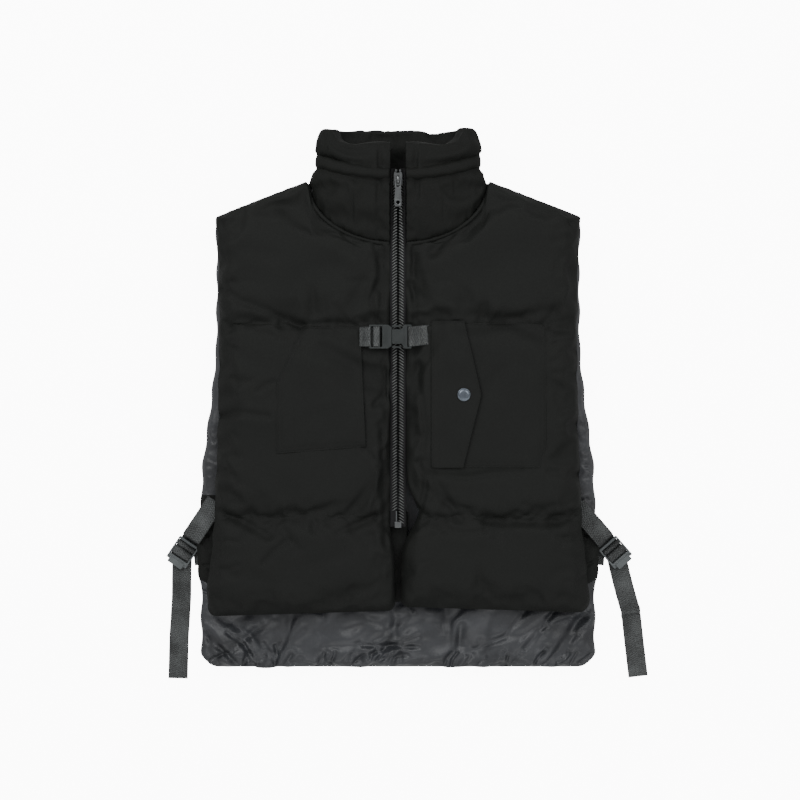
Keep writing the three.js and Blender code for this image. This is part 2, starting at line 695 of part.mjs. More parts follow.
for (const { side, at, turn, tailTurn } of sides) {
  const place = new THREE.Group();
  place.position.set(at[0], at[1], 0);
  place.rotation.z = THREE.MathUtils.degToRad(turn);
  vest.add(place);

  // Ladder lock: open frame with a loop bar, two grip bars and a lifting lip.
  const opening = (y0, y1) => box(-slotHalf, slotHalf, y0, y1, 0, stayOut);
  const lockShape = outline([
    [-lockHalf, -lockBar, 2.5],
    [lockHalf, -lockBar, 2.5],
    [lockHalf, lockBar, 2.5],
    [-lockHalf, lockBar, 2.5],
  ]);
  const lockBody = prism(lockShape, lockZ, lockTop)
    .subtract(opening(lockBar - 5.4, lockBar - 2.6))
    .subtract(opening(2.6, 6.4))
    .subtract(opening(-7.6, -3.8))
    .subtract(box(-slotHalf, slotHalf, -7.6, 6.4, lockTop - 1.2, stayOut));
  const lip = alongX(
    outline([[-lockBar - 3.6, lockTop + 0.6], [-lockBar + 1, lockZ + 1.4], [-lockBar + 1, lockTop],
      [-lockBar - 3, lockTop + 2]]),
    -11,
    11,
  );
  add(`${side}_ladder_lock`, lockBody.add(lip), plastic(), place);

  // Short webbing wound over the grip bar, held in the lock.
  const gripTop = lockTop - 1.2 + gap + webThick / 2;
  const wound = strapBand([
    [4.6, lockZ - 0.2],
    [4.4, gripTop - 0.7],
    [3.4, gripTop],
    [-4.6, gripTop],
    [-5.7, gripTop - 0.7],
    [-5.8, lockZ - 0.2],
  ]);
  add(`${side}_strap_wound`, wound, webbing(), place);

  // Strap from between the panels, over the edge, down to the lock's loop bar and around it.
  const lean = THREE.MathUtils.degToRad(Math.abs(turn));
  const reach = Math.abs(at[0]) - hemHalf;
  const edgeY = (reach - strapHalf * Math.cos(lean)) / Math.sin(lean); // over the back's edge
  const loopY = lockBar - 4;
  const loopTop = lockTop + gap + webThick / 2;
  const upper = strapBand([
    [84, frontLow - 1.6],
    [42, frontLow - 3],
    [edgeY - 2, frontLow - 5],
    [19, lockTop + 3],
    [lockBar, loopTop],
    [loopY + 0.8, loopTop],
    [loopY, loopTop - 0.8],
    [loopY, lockZ + 1.2],
  ]);
  add(`${side}_side_strap_front`, upper, webbing(), place);

  // The tail lies on the floor, with spare length hidden under the lock.
  const tail = new THREE.Group();
  tail.rotation.z = THREE.MathUtils.degToRad(tailTurn);
  place.add(tail);
  const tailBand = strapBand([[6, 1], [-60, 1], [-110, 1], [-166, 1]]);
  add(`${side}_strap_tail`, tailBand, webbing(), tail);

  // Strap from the back panel's edge, lying on the floor beside the tail.
  const outward = Math.sign(at[0]);
  const panelEdge = outward * (hemHalf - 2.5);
  const tailEdge = at[0] - outward * (strapHalf + 2.5);
  const [x0, x1] = [panelEdge, tailEdge].sort((a, b) => a - b);
  const stubY = at[1] - 4.5;
  const stub = box(x0, x1, stubY - strapHalf, stubY + strapHalf, gap, gap + webThick);
  add(`${side}_side_strap_back`, stub, webbing());
}

export default vest;
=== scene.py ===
"""A padded zip-front vest lying flat on its back, with a chest buckle and side straps.

Shapes are worked out in millimetres and turned into metres as each mesh is made.
+Y runs up to the collar, +X to the wearer's left, +Z out of the chest.
"""
import json
import math

import bpy
import numpy as np
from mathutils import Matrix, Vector
from mathutils.bvhtree import BVHTree


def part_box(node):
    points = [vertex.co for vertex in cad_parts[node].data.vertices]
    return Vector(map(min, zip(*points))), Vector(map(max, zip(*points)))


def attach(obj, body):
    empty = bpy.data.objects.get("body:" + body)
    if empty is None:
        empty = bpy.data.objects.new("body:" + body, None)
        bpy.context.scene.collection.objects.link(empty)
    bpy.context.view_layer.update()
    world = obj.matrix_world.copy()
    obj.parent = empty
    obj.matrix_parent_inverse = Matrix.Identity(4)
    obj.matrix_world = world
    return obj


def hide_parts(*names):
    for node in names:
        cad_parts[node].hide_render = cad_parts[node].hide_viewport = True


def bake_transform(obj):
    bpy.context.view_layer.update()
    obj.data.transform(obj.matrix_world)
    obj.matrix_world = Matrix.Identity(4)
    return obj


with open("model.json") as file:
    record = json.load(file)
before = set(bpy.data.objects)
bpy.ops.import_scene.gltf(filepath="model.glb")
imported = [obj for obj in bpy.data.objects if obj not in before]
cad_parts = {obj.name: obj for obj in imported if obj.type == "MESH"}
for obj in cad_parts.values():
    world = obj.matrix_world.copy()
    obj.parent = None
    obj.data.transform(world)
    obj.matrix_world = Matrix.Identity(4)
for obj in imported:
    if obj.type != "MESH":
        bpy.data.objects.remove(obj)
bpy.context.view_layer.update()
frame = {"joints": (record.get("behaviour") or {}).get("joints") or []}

MM = 0.001
JOINT = {joint["name"]: joint for joint in frame["joints"]}


def span(node):
    """Lowest and highest corner of a CAD node, in millimetres."""
    low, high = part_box(node)
    return np.array(low) / MM, np.array(high) / MM


COLLAR_LOW, COLLAR_HIGH = span("collar_shell")
ZIP_HALF = 10.5
FRONT_HEM = -277
UPPER_SEAM = 94
LOWER_SEAM = -156
SHOULDER_TIP = np.array([240.0, 236.0])
SHOULDER_NECK = np.array([117.0, 284.0])
NECK_HALF, NECK_Y, NECK_DROP = 116.0, 277.0, 77.0
WEB_WIDTH = 25.8
WEB_THICK = 1.4
SWELL_FRAMES = 20
LOWEST_SWELL = 0.5
LOWEST_CREASE = 0.4


# ---------------------------------------------------------------- shader maths
class Field:
    """A value that varies over a surface. Operators on it add Math nodes."""

    def __init__(self, finish, socket):
        self.finish = finish
        self.socket = socket

    def _math(self, operation, *values, clamp=False):
        return self.finish.node("ShaderNodeMath", {"operation": operation, "use_clamp": clamp}, values)

    def __add__(self, other):
        return self._math("ADD", self, other)

    def __sub__(self, other):
        return self._math("SUBTRACT", self, other)

    def __rsub__(self, other):
        return self._math("SUBTRACT", other, self)

    def __mul__(self, other):
        return self._math("MULTIPLY", self, other)

    def __truediv__(self, other):
        return self._math("DIVIDE", self, other)

    __radd__ = __add__
    __rmul__ = __mul__

    def sine(self):
        return self._math("SINE", self)

    def size(self):
        return self._math("ABSOLUTE", self)

    def clamped(self):
        """Kept between 0 and 1."""
        return self._math("ADD", self, 0.0, clamp=True)


class Finish:
    """A material built on one Principled shader."""

    def __init__(self, name, color, roughness, metallic=0.0, **constants):
        self.material = bpy.data.materials.new(name)
        self.material.use_nodes = True
        self.tree = self.material.node_tree
        self.shader = self.tree.nodes["Principled BSDF"]
        self.set("Base Color", (*[linear(c) for c in color], 1.0))
        self.set("Roughness", roughness)
        self.set("Metallic", metallic)
        for socket, value in constants.items():
            self.set(socket.replace("_", " "), value)
        self.base = self.shader.inputs["Base Color"].default_value[:]

    def set(self, socket, value):
        self.put(self.shader.inputs[socket], value)

    def put(self, socket, value):
        """Links a field to a socket, or sets a plain value on it."""
        if isinstance(value, Field):
            self.tree.links.new(value.socket, socket)
        else:
            socket.default_value = value

    def node(self, kind, settings=(), values=(), out=0):
        """One node: its type, its settings, then its inputs, as values or links."""
        made = self.tree.nodes.new(kind)
        for key, value in dict(settings).items():
            setattr(made, key, value)
        pairs = values.items() if isinstance(values, dict) else enumerate(values)
        for key, value in pairs:
            self.put(made.inputs[key], value)
        return Field(self, made.outputs[out])

    def place(self):
        """Object position as a vector in metres and as three fields in millimetres."""
        where = self.node("ShaderNodeTexCoord", out="Object")
        split = self.tree.nodes.new("ShaderNodeSeparateXYZ")
        self.put(split.inputs[0], where)
        return where, [Field(self, split.outputs[i]) * 1000.0 for i in range(3)]

    def noise(self, where, scale, detail=3.0, rough=0.55, stretch=None):
        if stretch:
            where = self.node(
                "ShaderNodeVectorMath", {"operation": "MULTIPLY"}, {0: where, 1: stretch}
            )
        values = {"Vector": where, "Scale": scale, "Detail": detail, "Roughness": rough}
        return self.node("ShaderNodeTexNoise", {}, values)

    def tint(self, shade, low, high):
        """Base colour from low to high times the base, as shade goes from 0 to 1."""
        dark = [c * low for c in self.base[:3]] + [1]
        light = [c * high for c in self.base[:3]] + [1]
        mixed = self.node(
            "ShaderNodeMix", {"data_type": "RGBA"}, {0: shade, 6: dark, 7: light}, out=2
        )
        self.set("Base Color", mixed)

    def relief(self, height, strength, distance):
        values = {"Height": height, "Strength": strength, "Distance": distance}
        self.set("Normal", self.node("ShaderNodeBump", {}, values, out="Normal"))


def linear(value):
    """Screen tone from 0 to 255, as the light it stands for."""
    share = value / 255
    return share / 12.92 if share <= 0.04045 else ((share + 0.055) / 1.055) ** 2.4


def woven(name, color, roughness, thread=0.9, **constants):
    """Plain woven cloth: crossing threads, faint slubs and a little uneven dye."""
    finish = Finish(name, color, roughness, **constants)
    where, (x, y, z) = finish.place()
    turn = 2 * math.pi / thread
    warp = ((x + z * 0.5) * turn).sine()
    weft = ((y + z * 0.5) * turn).sine()
    slub = finish.noise(where, 900.0, 2.0, stretch=(1.0, 0.08, 1.0))
    cloud = finish.noise(where, 9.0, 4.0)
    weave = warp * weft * 0.5 + slub
    finish.relief(weave, 0.25, 0.0004)
    finish.tint((weave * 0.3 + cloud * 0.9 - 0.1).clamped(), 0.65, 1.35)
    finish.set("Roughness", (cloud * 0.16 + (roughness - 0.08)).clamped())
    return finish.material


def satin(name, color, roughness):
    """Shiny lining: very fine threads, and long soft streaks of painted sheen in its colour."""
    finish = Finish(name, color, roughness, Specular_IOR_Level=0.42)
    where, (x, y, _) = finish.place()
    threads = ((x + y * 0.02) * (2 * math.pi / 0.5)).sine()
    crease = finish.noise(where, 38.0, 6.0, 0.6)
    painted_sheen_streak = finish.noise(where, 14.0, 3.0, 0.5, stretch=(1.0, 2.2, 1.0))
    finish.relief(crease * 1.0 + threads * 0.02, 0.5, 0.0022)
    # painted sheen: the long streaks lighten and darken the base colour in place of the lining's shine
    finish.tint((painted_sheen_streak * 1.8 - 0.4).clamped(), 0.5, 1.45)
    finish.set("Roughness", (crease * 0.25 + (roughness - 0.1)).clamped())
    return finish.material


def twill(name, color, roughness):
    """Strap webbing: slanting twill ribs that turn back at the middle, painted glints on the yarn, and darker edges.
    """
    finish = Finish(name, color, roughness, Specular_IOR_Level=0.35)
    along = finish.node("ShaderNodeAttribute", {"attribute_name": "along"}, out="Fac")
    across = finish.node("ShaderNodeAttribute", {"attribute_name": "across"}, out="Fac")
    where, _ = finish.place()
    lean = across.size()
    ribs = ((along + lean * 0.9) * (2 * math.pi / 3.0)).sine()
    yarn = (across * (2 * math.pi / 2.3)).sine()
    fuzz = finish.noise(where, 1100.0, 2.0)
    # painted highlight: fine flecks lighten the colour as glints of light on the yarn
    painted_glint = finish.noise(where, 480.0, 2.0, 0.7)
    finish.relief(ribs * 0.7 + yarn * 0.4 + fuzz * 0.4, 0.7, 0.0006)
    patch = finish.noise(where, 34.0, 1.0)
    # darker in a thin band along both edges of the webbing
    edge_band_darkening = (lean - 11.6).clamped() * 0.35
    # colour of the webbing: weave pattern and random tone, plus the painted glints
    weave_and_glint_tone = ribs * yarn * 0.5 + ribs * 0.12 + (painted_glint - 0.5) * 1.5 + (patch - 0.5) * 1.5 + fuzz * 0.3 + 0.32
    finish.tint((weave_and_glint_tone - edge_band_darkening).clamped(), 0.22, 2.3)
    finish.set("Roughness", (fuzz * 0.2 + (roughness - 0.1)).clamped())
    return finish.material


def moulded(name, color, roughness):
    """Moulded plastic with a fine spark-eroded grain and rubbed high spots."""
    finish = Finish(name, color, roughness, Specular_IOR_Level=0.35)
    where, _ = finish.place()
    grain = finish.noise(where, 2600.0, 2.0)
    rub = finish.noise(where, 120.0, 4.0)
    finish.relief(grain, 0.12, 0.0002)
    finish.tint((rub * 1.2 - 0.1).clamped(), 0.82, 1.2)
    finish.set("Roughness", (rub * 0.25 + (roughness - 0.12)).clamped())
    return finish.material


def metal(name, color, roughness, scratch=0.5):
    """Plated metal with hairline scratches and duller patches."""
    finish = Finish(name, color, roughness, metallic=0.9)
    where, _ = finish.place()
    hair = finish.noise(where, 700.0, 3.0, stretch=(1.0, 0.05, 1.0))
    patch = finish.noise(where, 90.0, 4.0)
    finish.relief(hair, 0.08 * scratch, 0.0002)
    finish.tint((patch * 1.2 - 0.1).clamped(), 0.7, 1.3)
    finish.set("Roughness", (patch * 0.3 + hair * 0.1 + (roughness - 0.2)).clamped())
    return finish.material


SHELL = woven("shell_cloth", (19.3, 20.8, 19.2), 0.71, Specular_IOR_Level=0.17)
COLLAR = woven("collar_cloth", (16.3, 17.8, 15.9), 0.71, Specular_IOR_Level=0.16)
LINING = satin("lining_satin", (43, 44.5, 47.5), 0.38)
WEBBING = twill("strap_webbing", (52, 54, 54), 0.55)
PLASTIC = moulded("buckle_plastic", (34, 38, 38), 0.42)
TAPE = woven("zip_tape", (26, 26, 27), 0.8, thread=1.1, Specular_IOR_Level=0.16)
TOOTH = metal("zip_metal", (98, 100, 101), 0.3)
COIL = metal("zip_teeth_metal", (102, 104, 103), 0.36, scratch=1.0)
# painted highlight: the lock is dark plastic like the buckle; its much lighter grey stands in for the bright
# highlights along its frame and lip
LOCK_WITH_PAINTED_SHINE = moulded("lock_plastic", (80, 84, 85), 0.27)
SNAP = metal("snap_metal", (92, 98, 106), 0.3)
THREAD = woven("sewing_thread", (27, 28, 27), 0.75, thread=0.5, Specular_IOR_Level=0.16)
BAR_TACK = woven("bar_tack_thread", (96, 98, 96), 0.6, thread=0.5, Specular_IOR_Level=0.3)


# ---------------------------------------------------------------- meshes
def piece(name, points, faces, material, body="vest", replaces=(), smooth=True):
    """A mesh from points in millimetres, riding on a CAD body."""
    mesh = bpy.data.meshes.new(name)
    mesh.from_pydata([tuple(p) for p in np.asarray(points) * MM], [], [tuple(f) for f in faces])
    mesh.validate()
    mesh.polygons.foreach_set("use_smooth", [smooth] * len(mesh.polygons))
    obj = bpy.data.objects.new(name, mesh)
    bpy.context.scene.collection.objects.link(obj)
    mesh.materials.append(material)
    if body:
        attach(obj, body)
    if replaces:
        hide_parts(*replaces)
    return obj


def grid_faces(rows, columns, offset=0, flip=False, wrap=False):
    """Quads of a rows by columns grid whose points run along the columns first."""
    faces = []
    for i in range(rows - 1):
        for j in range(columns if wrap else columns - 1):
            k = (j + 1) % columns
            quad = [i * columns + j, i * columns + k, (i + 1) * columns + k, (i + 1) * columns + j]
            faces.append([offset + q for q in (quad[::-1] if flip else quad)])
    return faces


def apply_modifiers(obj):
    """Turns what the modifiers make into the piece's own mesh."""
    graph = bpy.context.evaluated_depsgraph_get()
    done = bpy.data.meshes.new_from_object(obj.evaluated_get(graph))
    obj.modifiers.clear()
    obj.data = done


def subdivide(obj):
    """Rounds a piece with one level of subdivision."""
    modifier = obj.modifiers.new("round", "SUBSURF")
    modifier.levels = modifier.render_levels = 1
    apply_modifiers(obj)


def positions(obj):
    """Where the points of a piece are, in metres."""
    flat = np.empty(len(obj.data.vertices) * 3)
    obj.data.vertices.foreach_get("co", flat)
    return flat.reshape(-1, 3)


def surface(*objects):
    """Trees to look a height up on, one for each piece."""
    graph = bpy.context.evaluated_depsgraph_get()
    return [BVHTree.FromObject(obj, graph) for obj in objects]


def height(trees, x, y, fallback=50.0):
    """Highest surface under (x, y), in millimetres."""
    found = []
    for tree in trees:
        hit = tree.ray_cast(Vector((x * MM, y * MM, 0.3)), Vector((0, 0, -1)))[0]
        if hit is not None:
            found.append(hit.z / MM)
    return max(found) if found else fallback


def swell(obj, held, pressure, spare, limit, bending=0.25):
    """Blows a padded piece up as cloth, with its sewn points held, and keeps the result."""
    start = positions(obj)
    group = obj.vertex_groups.new(name="sewn")
    for weight in np.unique(np.round(held[held > 0.01], 2)):
        group.add([int(i) for i in np.flatnonzero(np.abs(held - weight) < 0.005)], float(weight), "ADD")
    cloth = obj.modifiers.new("swell", "CLOTH")
    stuff = cloth.settings
    stuff.quality = 5
    stuff.mass = 0.2
    stuff.tension_stiffness = stuff.compression_stiffness = 12
    stuff.shear_stiffness = 4
    stuff.bending_stiffness = bending
    stuff.tension_damping = stuff.compression_damping = stuff.shear_damping = 8
    stuff.air_damping = 3
    stuff.vertex_group_mass = "sewn"
    stuff.pin_stiffness = 5
    stuff.use_pressure = True
    stuff.uniform_pressure_force = pressure
    stuff.shrink_min = -spare
    stuff.effector_weights.gravity = 0
    cloth.collision_settings.use_collision = False
    cloth.point_cache.frame_start, cloth.point_cache.frame_end = 1, SWELL_FRAMES
    scene = bpy.context.scene
    for number in range(1, SWELL_FRAMES + 1):
        scene.frame_set(number)
    graph = bpy.context.evaluated_depsgraph_get()
    solved = obj.evaluated_get(graph).data
    flat = np.empty(len(solved.vertices) * 3)
    solved.vertices.foreach_get("co", flat)
    move = flat.reshape(-1, 3) - start
    far = np.maximum(np.linalg.norm(move, axis=1, keepdims=True), 1e-9)
    end = start + move * np.minimum(1, limit * MM / far)
    end[:, 2] = np.maximum(end[:, 2], LOWEST_SWELL * MM)
    obj.modifiers.remove(cloth)
    obj.vertex_groups.clear()
    obj.data.vertices.foreach_set("co", end.ravel())
    obj.data.update()
    scene.frame_set(1)


def centres(obj):
    """Middle of every face of a piece, in mm."""
    points = positions(obj) / MM
    return [points[list(face.vertices)].mean(axis=0) for face in obj.data.polygons]


def split_off(obj, name, keep, material, replaces):
    """Moves the faces where keep is false into a second piece."""
    mesh = obj.data
    points = positions(obj) / MM
    parts = [[], []]
    for face, kept in zip(mesh.polygons, keep):
        parts[0 if kept else 1].append(list(face.vertices))
    made = []
    for faces in parts:
        used = sorted({v for face in faces for v in face})
        lookup = {v: i for i, v in enumerate(used)}
        made.append((points[used], [[lookup[v] for v in face] for face in faces]))
    old_material = mesh.materials[0]
    fresh = bpy.data.meshes.new(obj.name)
    fresh.from_pydata([tuple(p) for p in made[0][0] * MM], [], made[0][1])
    fresh.polygons.foreach_set("use_smooth", [True] * len(fresh.polygons))
    fresh.materials.append(old_material)
    obj.data = fresh
    return piece(name, made[1][0], made[1][1], material, replaces=replaces)


# ---------------------------------------------------------------- padded panels
def groove(x, y, line, width):
    """How close (x, y) lies to a folded line, from 0 far away to 1 on it."""
    near = np.full(x.shape, 1e9)
    for (x0, y0), (x1, y1) in zip(line, line[1:]):
        dx, dy = x1 - x0, y1 - y0
        t = np.clip(((x - x0) * dx + (y - y0) * dy) / (dx * dx + dy * dy), 0, 1)
        near = np.minimum(near, np.hypot(x - x0 - t * dx, y - y0 - t * dy))
    return np.exp(-((near / width) ** 2))


def crease(obj, folds, sign=1, facing=0.25):
    """Presses fold lines into the upper side of a finished piece, each with a soft ridge beside it."""
    points = positions(obj) / MM
    normals = np.empty(len(obj.data.vertices) * 3)
    obj.data.vertices.foreach_get("normal", normals)
    lit = np.clip((normals.reshape(-1, 3)[:, 2] - facing) / 0.3, 0, 1)
    x, y = points[:, 0] * sign, points[:, 1]
    drop = np.zeros(len(points))
    for line, width, depth in folds:
        low, high = np.min(line, 0) - width * 4, np.max(line, 0) + width * 4
        near = (x > low[0]) & (x < high[0]) & (y > low[1]) & (y < high[1])
        if not near.any():
            continue
        middle = groove(x[near], y[near], line, width)
        wide = groove(x[near], y[near], line, width * 2.3)
        drop[near] += depth * (1.25 * middle - 0.55 * wide)
    points[:, 2] = np.maximum(points[:, 2] - drop * lit, LOWEST_CREASE)
    obj.data.vertices.foreach_set("co", (points * MM).ravel())
    obj.data.update()


def wrinkles(seed, count, centre, spread, angle, turn, length, width, depth):
    """Short random folds scattered round a place, most of them near one angle."""
    r = np.random.default_rng(seed)
    folds = []
    for _ in range(count):
        at = np.array(centre) + np.array(spread) * r.uniform(-1, 1, 2)
        way = math.radians(angle + r.normal(0, turn))
        half = np.array([math.cos(way), math.sin(way)]) * r.uniform(*length) / 2
        bend = np.array([-half[1], half[0]]) * r.uniform(-0.3, 0.3)
        line = [tuple(at - half), tuple(at + bend), tuple(at + half)]
        folds.append((line, r.uniform(*width), r.uniform(*depth)))
    return folds


def dome(distance, width):
    """Height share of a puffed edge: a quarter circle that levels out at width."""
    t = 1 - np.clip(distance / width, 0, 1)
    return np.sqrt(np.maximum(1 - t * t, 0))


def bumps(x, y, size, seed):
    """Smooth random unevenness, about -1 to 1."""
    r = np.random.default_rng(seed)
    total = np.zeros(x.shape)
    for _ in range(14):
        angle, phase = r.uniform(0, 2 * math.pi, 2)
        wave = r.uniform(0.6, 1.8) * 2 * math.pi / size
        total += np.sin((x * math.cos(angle) + y * math.sin(angle)) * wave + phase)
    return total / 5


def round_corner(x, y, edge, hem, size, way=1):
    """Bends a square corner of a grid, at the edge and the hem, into a quarter circle."""
    u = np.clip(((x - edge) * way + size) / size, 0, 1)
    v = np.clip((hem + size - y) / size, 0, 1)
    inside = (u > 0) & (v > 0)
    round_x = x - way * size * u * (1 - np.sqrt(1 - v * v / 2))
    round_y = y + size * v * (1 - np.sqrt(1 - u * u / 2))
    return np.where(inside, round_x, x), np.where(inside, round_y, y)


def pillow(x, y, level, top, low, held):
    """A closed pad from a grid of points: a top and an underside joined at the rim."""
    rows, columns = x.shape
    over = np.stack([x, y, level + top], -1).reshape(-1, 3)
    under = np.stack([x, y, level - low], -1).reshape(-1, 3)
    index = np.arange(rows * columns).reshape(rows, columns)
    rim = np.zeros((rows, columns), bool)
    rim[0], rim[-1], rim[:, 0], rim[:, -1] = True, True, True, True
    below = np.where(rim.ravel(), index.ravel(), -1)
    inner = np.flatnonzero(~rim.ravel())
    below[inner] = rows * columns + np.arange(len(inner))
    points = np.vstack([over, under[inner]])
    faces = grid_faces(rows, columns)
    faces += [[below[v] for v in face][::-1] for face in grid_faces(rows, columns)]
    top_faces = (rows - 1) * (columns - 1)
    weights = np.concatenate([held.ravel(), held.ravel()[inner]])
    return points, faces, weights, top_faces


FOLDS = {  # folds on each front: route, half width and depth, x measured from the zip outwards
    "right": [
        ([(226, 140), (205, 124), (170, 112), (126, 92)], 6, 4.6),
        ([(216, 146), (196, 128), (168, 119)], 8, 1.8),
        ([(238, -146), (220, -152), (200, -163), (168, -180)], 6, 4.2),
        ([(78, -175), (55, -166), (30, -153)], 5, 3.4),
        ([(20, -150), (30, -153)], 5, 2.6),
        ([(173, -214), (160, -199), (143, -186)], 5, 3.0),
        ([(27, 150), (35, 126), (31, 104), (24, 96)], 3.6, 3.6),
        ([(20, 46), (16, 20), (17, 6), (31, -11)], 3.6, 3.8),
        ([(22, -34), (19, -90), (17, -150), (16, -190)], 4.2, 4.4),
        ([(236, -24), (205, -20), (168, -25)], 5, 2.8),
        ([(234, 24), (212, 24)], 5, 2.8),
        ([(181, 8), (170, 16), (160, 19)], 4, 2.2),
        ([(100, 226), (70, 196), (40, 182), (16, 178)], 8, 2.8),
        ([(150, 245), (110, 215), (92, 206)], 8, 2.2),
        ([(120, 94), (84, 96), (52, 92)], 5, 2.4),
        ([(44, -66), (28, -84), (20, -96)], 4, 2.2),
    ],
    "left": [
        ([(112, -160), (160, -163), (205, -161), (236, -150)], 6.5, 4.6),
        ([(26, -84), (36, -106), (34, -128), (27, -150), (10, -184)], 4.4, 5.6),
        ([(36, -84), (48, -108), (58, -124), (74, -153)], 6.5, 3.4),
        ([(60, -172), (88, -176), (112, -173)], 6, 3.2),
        ([(17, 148), (23, 122), (21, 102)], 3.6, 3.0),
        ([(26, 44), (30, 0), (36, -44), (30, -80)], 4.4, 3.4),
        ([(48, 112), (90, 103), (150, 103), (200, 112)], 7, 3.2),
        ([(40, -100), (90, -104), (120, -98), (160, -96)], 5, 2.8),
        ([(196, -96), (222, -104), (238, -100)], 5.5, 3.2),
        ([(110, 232), (84, 205), (48, 188), (20, 183)], 8, 2.8),
        ([(236, 60), (214, 50), (200, 46)], 5, 2.4),
        ([(150, -262), (190, -252), (236, -264)], 7, 2.4),
        ([(238, 190), (222, 170), (228, 140)], 6, 2.6),
    ],
}


def front_panel(side, sign):
    """One front: three quilted channels, a soft edge and folds; skin and lining split apart."""
    columns = 46
    hem, even_top = FRONT_HEM - (5 if side == "right" else 0), 186.0
    even = np.unique(np.concatenate([
        np.arange(hem, even_top, 5.2),
        [UPPER_SEAM - 3, UPPER_SEAM, UPPER_SEAM + 3, LOWER_SEAM - 3, LOWER_SEAM, LOWER_SEAM + 3],
    ]))
    share = np.linspace(0, 1, columns)
    run = SHOULDER_NECK - SHOULDER_TIP
    out = 237 * share + ZIP_HALF * (1 - share)
    neck = NECK_Y - (NECK_DROP + 1) * np.sqrt(np.maximum(1 - (out / (NECK_HALF + 1)) ** 2, 0))
    slope = SHOULDER_TIP[1] + (out - SHOULDER_TIP[0]) * run[1] / run[0] - 3
    roof = np.where(out < NECK_HALF, np.minimum(neck, slope), slope)
    upper = np.linspace(0, 1, 17)[1:, None]
    upper_rows = even_top + (roof - even_top)[None, :] * upper
    y = np.vstack([np.repeat(even[:, None], columns, 1), upper_rows])
    inner = np.interp(y, [-300, -205, -172, 300], [3.4, 4.5, ZIP_HALF, ZIP_HALF])
    if side == "left":
        inner = inner + 15 * np.exp(-(((y + 150) / 26) ** 2))
    outer = np.interp(
        y, [-280, -264, -244, -212, -186, -151, -108, -60, 61, 178, 236],
        [248.5, 249, 248, 244.5, 241, 239, 237.5, 235, 233, 234, 238],
    )
    outer = outer + 1.3 * np.sin(y / 7.0 + 1.0 * sign) * np.sin(y / 23.0)
    x = inner + (outer - inner) * share[None, :]
    gap_x, gap_y, wide_edge, slit_edge = x, y, outer, inner
    x, y = round_corner(x, y, outer, hem, 12.0)
    x, y = round_corner(x, y, inner, hem, 11.0, -1)
    y = y + np.where(y < hem + 30, (np.abs(x) - 120) * -0.03 * np.clip(1 - (y - hem) / 30, 0, 1), 0)

    side_gap = np.minimum(wide_edge - gap_x, gap_x - slit_edge)
    roof_gap = np.maximum(roof[None, :] - y, 0)
    low_gap = gap_y - hem
    both = np.hypot(np.clip(17 - side_gap, 0, 17), np.clip(17 - low_gap, 0, 17))
    low_gap = np.where(both > 0.01, np.maximum(np.minimum(low_gap, 17 - both * 0.97), 0), low_gap)
    neck_rise = 1.9 + 2.2 * np.clip((NECK_HALF + 12 - x) / 20, 0, 1)
    edge_gap = np.minimum(side_gap, np.minimum(low_gap, roof_gap * neck_rise))
    drift = 3.0 * bumps(x, y * 0, 110, 21 + sign)
    seam_gap = np.minimum(np.abs(y - UPPER_SEAM - drift), np.abs(y - LOWER_SEAM + drift))
    seam_depth = np.clip(0.19 + 0.15 * bumps(x, y, 80, 5), 0.04, 0.5)
    puff = dome(edge_gap, 24) * (1 - seam_depth * np.exp(-((seam_gap / 13) ** 2)))
    zip_z = np.interp(y, [-300, -172, -162, 295], [44, 45.5, 46.5, 60.5])
    level = 43.0 + (zip_z - 43.0) * np.exp(-(((x - inner) / 16) ** 2))
    by_neck = np.clip((NECK_HALF + 12 - x) / 20, 0, 1)
    level = level + (6 + 8.5 * by_neck) * np.exp(-((roof_gap / 14) ** 2)) * np.clip((60 - level) / 15, 0, 1)
    crown = 61.5 + 1.5 * np.clip((y - 150) / 60, 0, 1)
    top = (crown - level) * puff + 1.7 * bumps(x, y, 120, 8 + sign) * dome(edge_gap, 40)
    top = np.maximum(top, 0)
    low = 7.0 * dome(edge_gap, 12)
    held = np.where((seam_gap < 2) & (edge_gap > 2), 0.3, 0.0)
    held[0], held[-1], held[:, 0], held[:, -1] = 0.9, 1, 1, 1
    points, faces, weights, split = pillow(sign * x, y, level, top, low, held)
    if sign < 0:
        faces = [face[::-1] for face in faces]
    fills = [f"{side}_front_fill_{channel}" for channel in ("upper", "middle", "lower")]
    shell = piece(f"{side}_front", points, faces, SHELL,
                  replaces=[f"{side}_front_shell", *fills])
    swell(shell, weights, 3.0, 0.06, 7)
    share_faces = np.arange(len(faces)) < split
    lining = split_off(shell, f"{side}_front_inside", share_faces, LINING,
                       [f"{side}_front_lining"])
    for part in (shell, lining):
        subdivide(part)
    seams = []
    for k, seam in enumerate((UPPER_SEAM, LOWER_SEAM)):
        seams += wrinkles(31 + k + sign, 26, (125, seam), (105, 13), 80, 35, (10, 30), (2.6, 5), (0.5, 1.5))
    edges = wrinkles(41 + sign, 34, (225, -10), (9, 235), 10, 28, (14, 42), (3, 6), (0.7, 2.0))
    edges += wrinkles(51 + sign, 30, (24, -20), (7, 225), 75, 35, (10, 30), (2.5, 4.5), (0.6, 1.7))
    edges += wrinkles(61 + sign, 20, (130, -262), (110, 9), 90, 25, (10, 26), (3, 5.5), (0.5, 1.4))
    soft = wrinkles(71 + sign, 16, (130, 0), (100, 240), 20, 50, (40, 90), (7, 13), (0.5, 1.3))
    crease(shell, FOLDS[side] + seams + edges + soft, sign)
    return shell


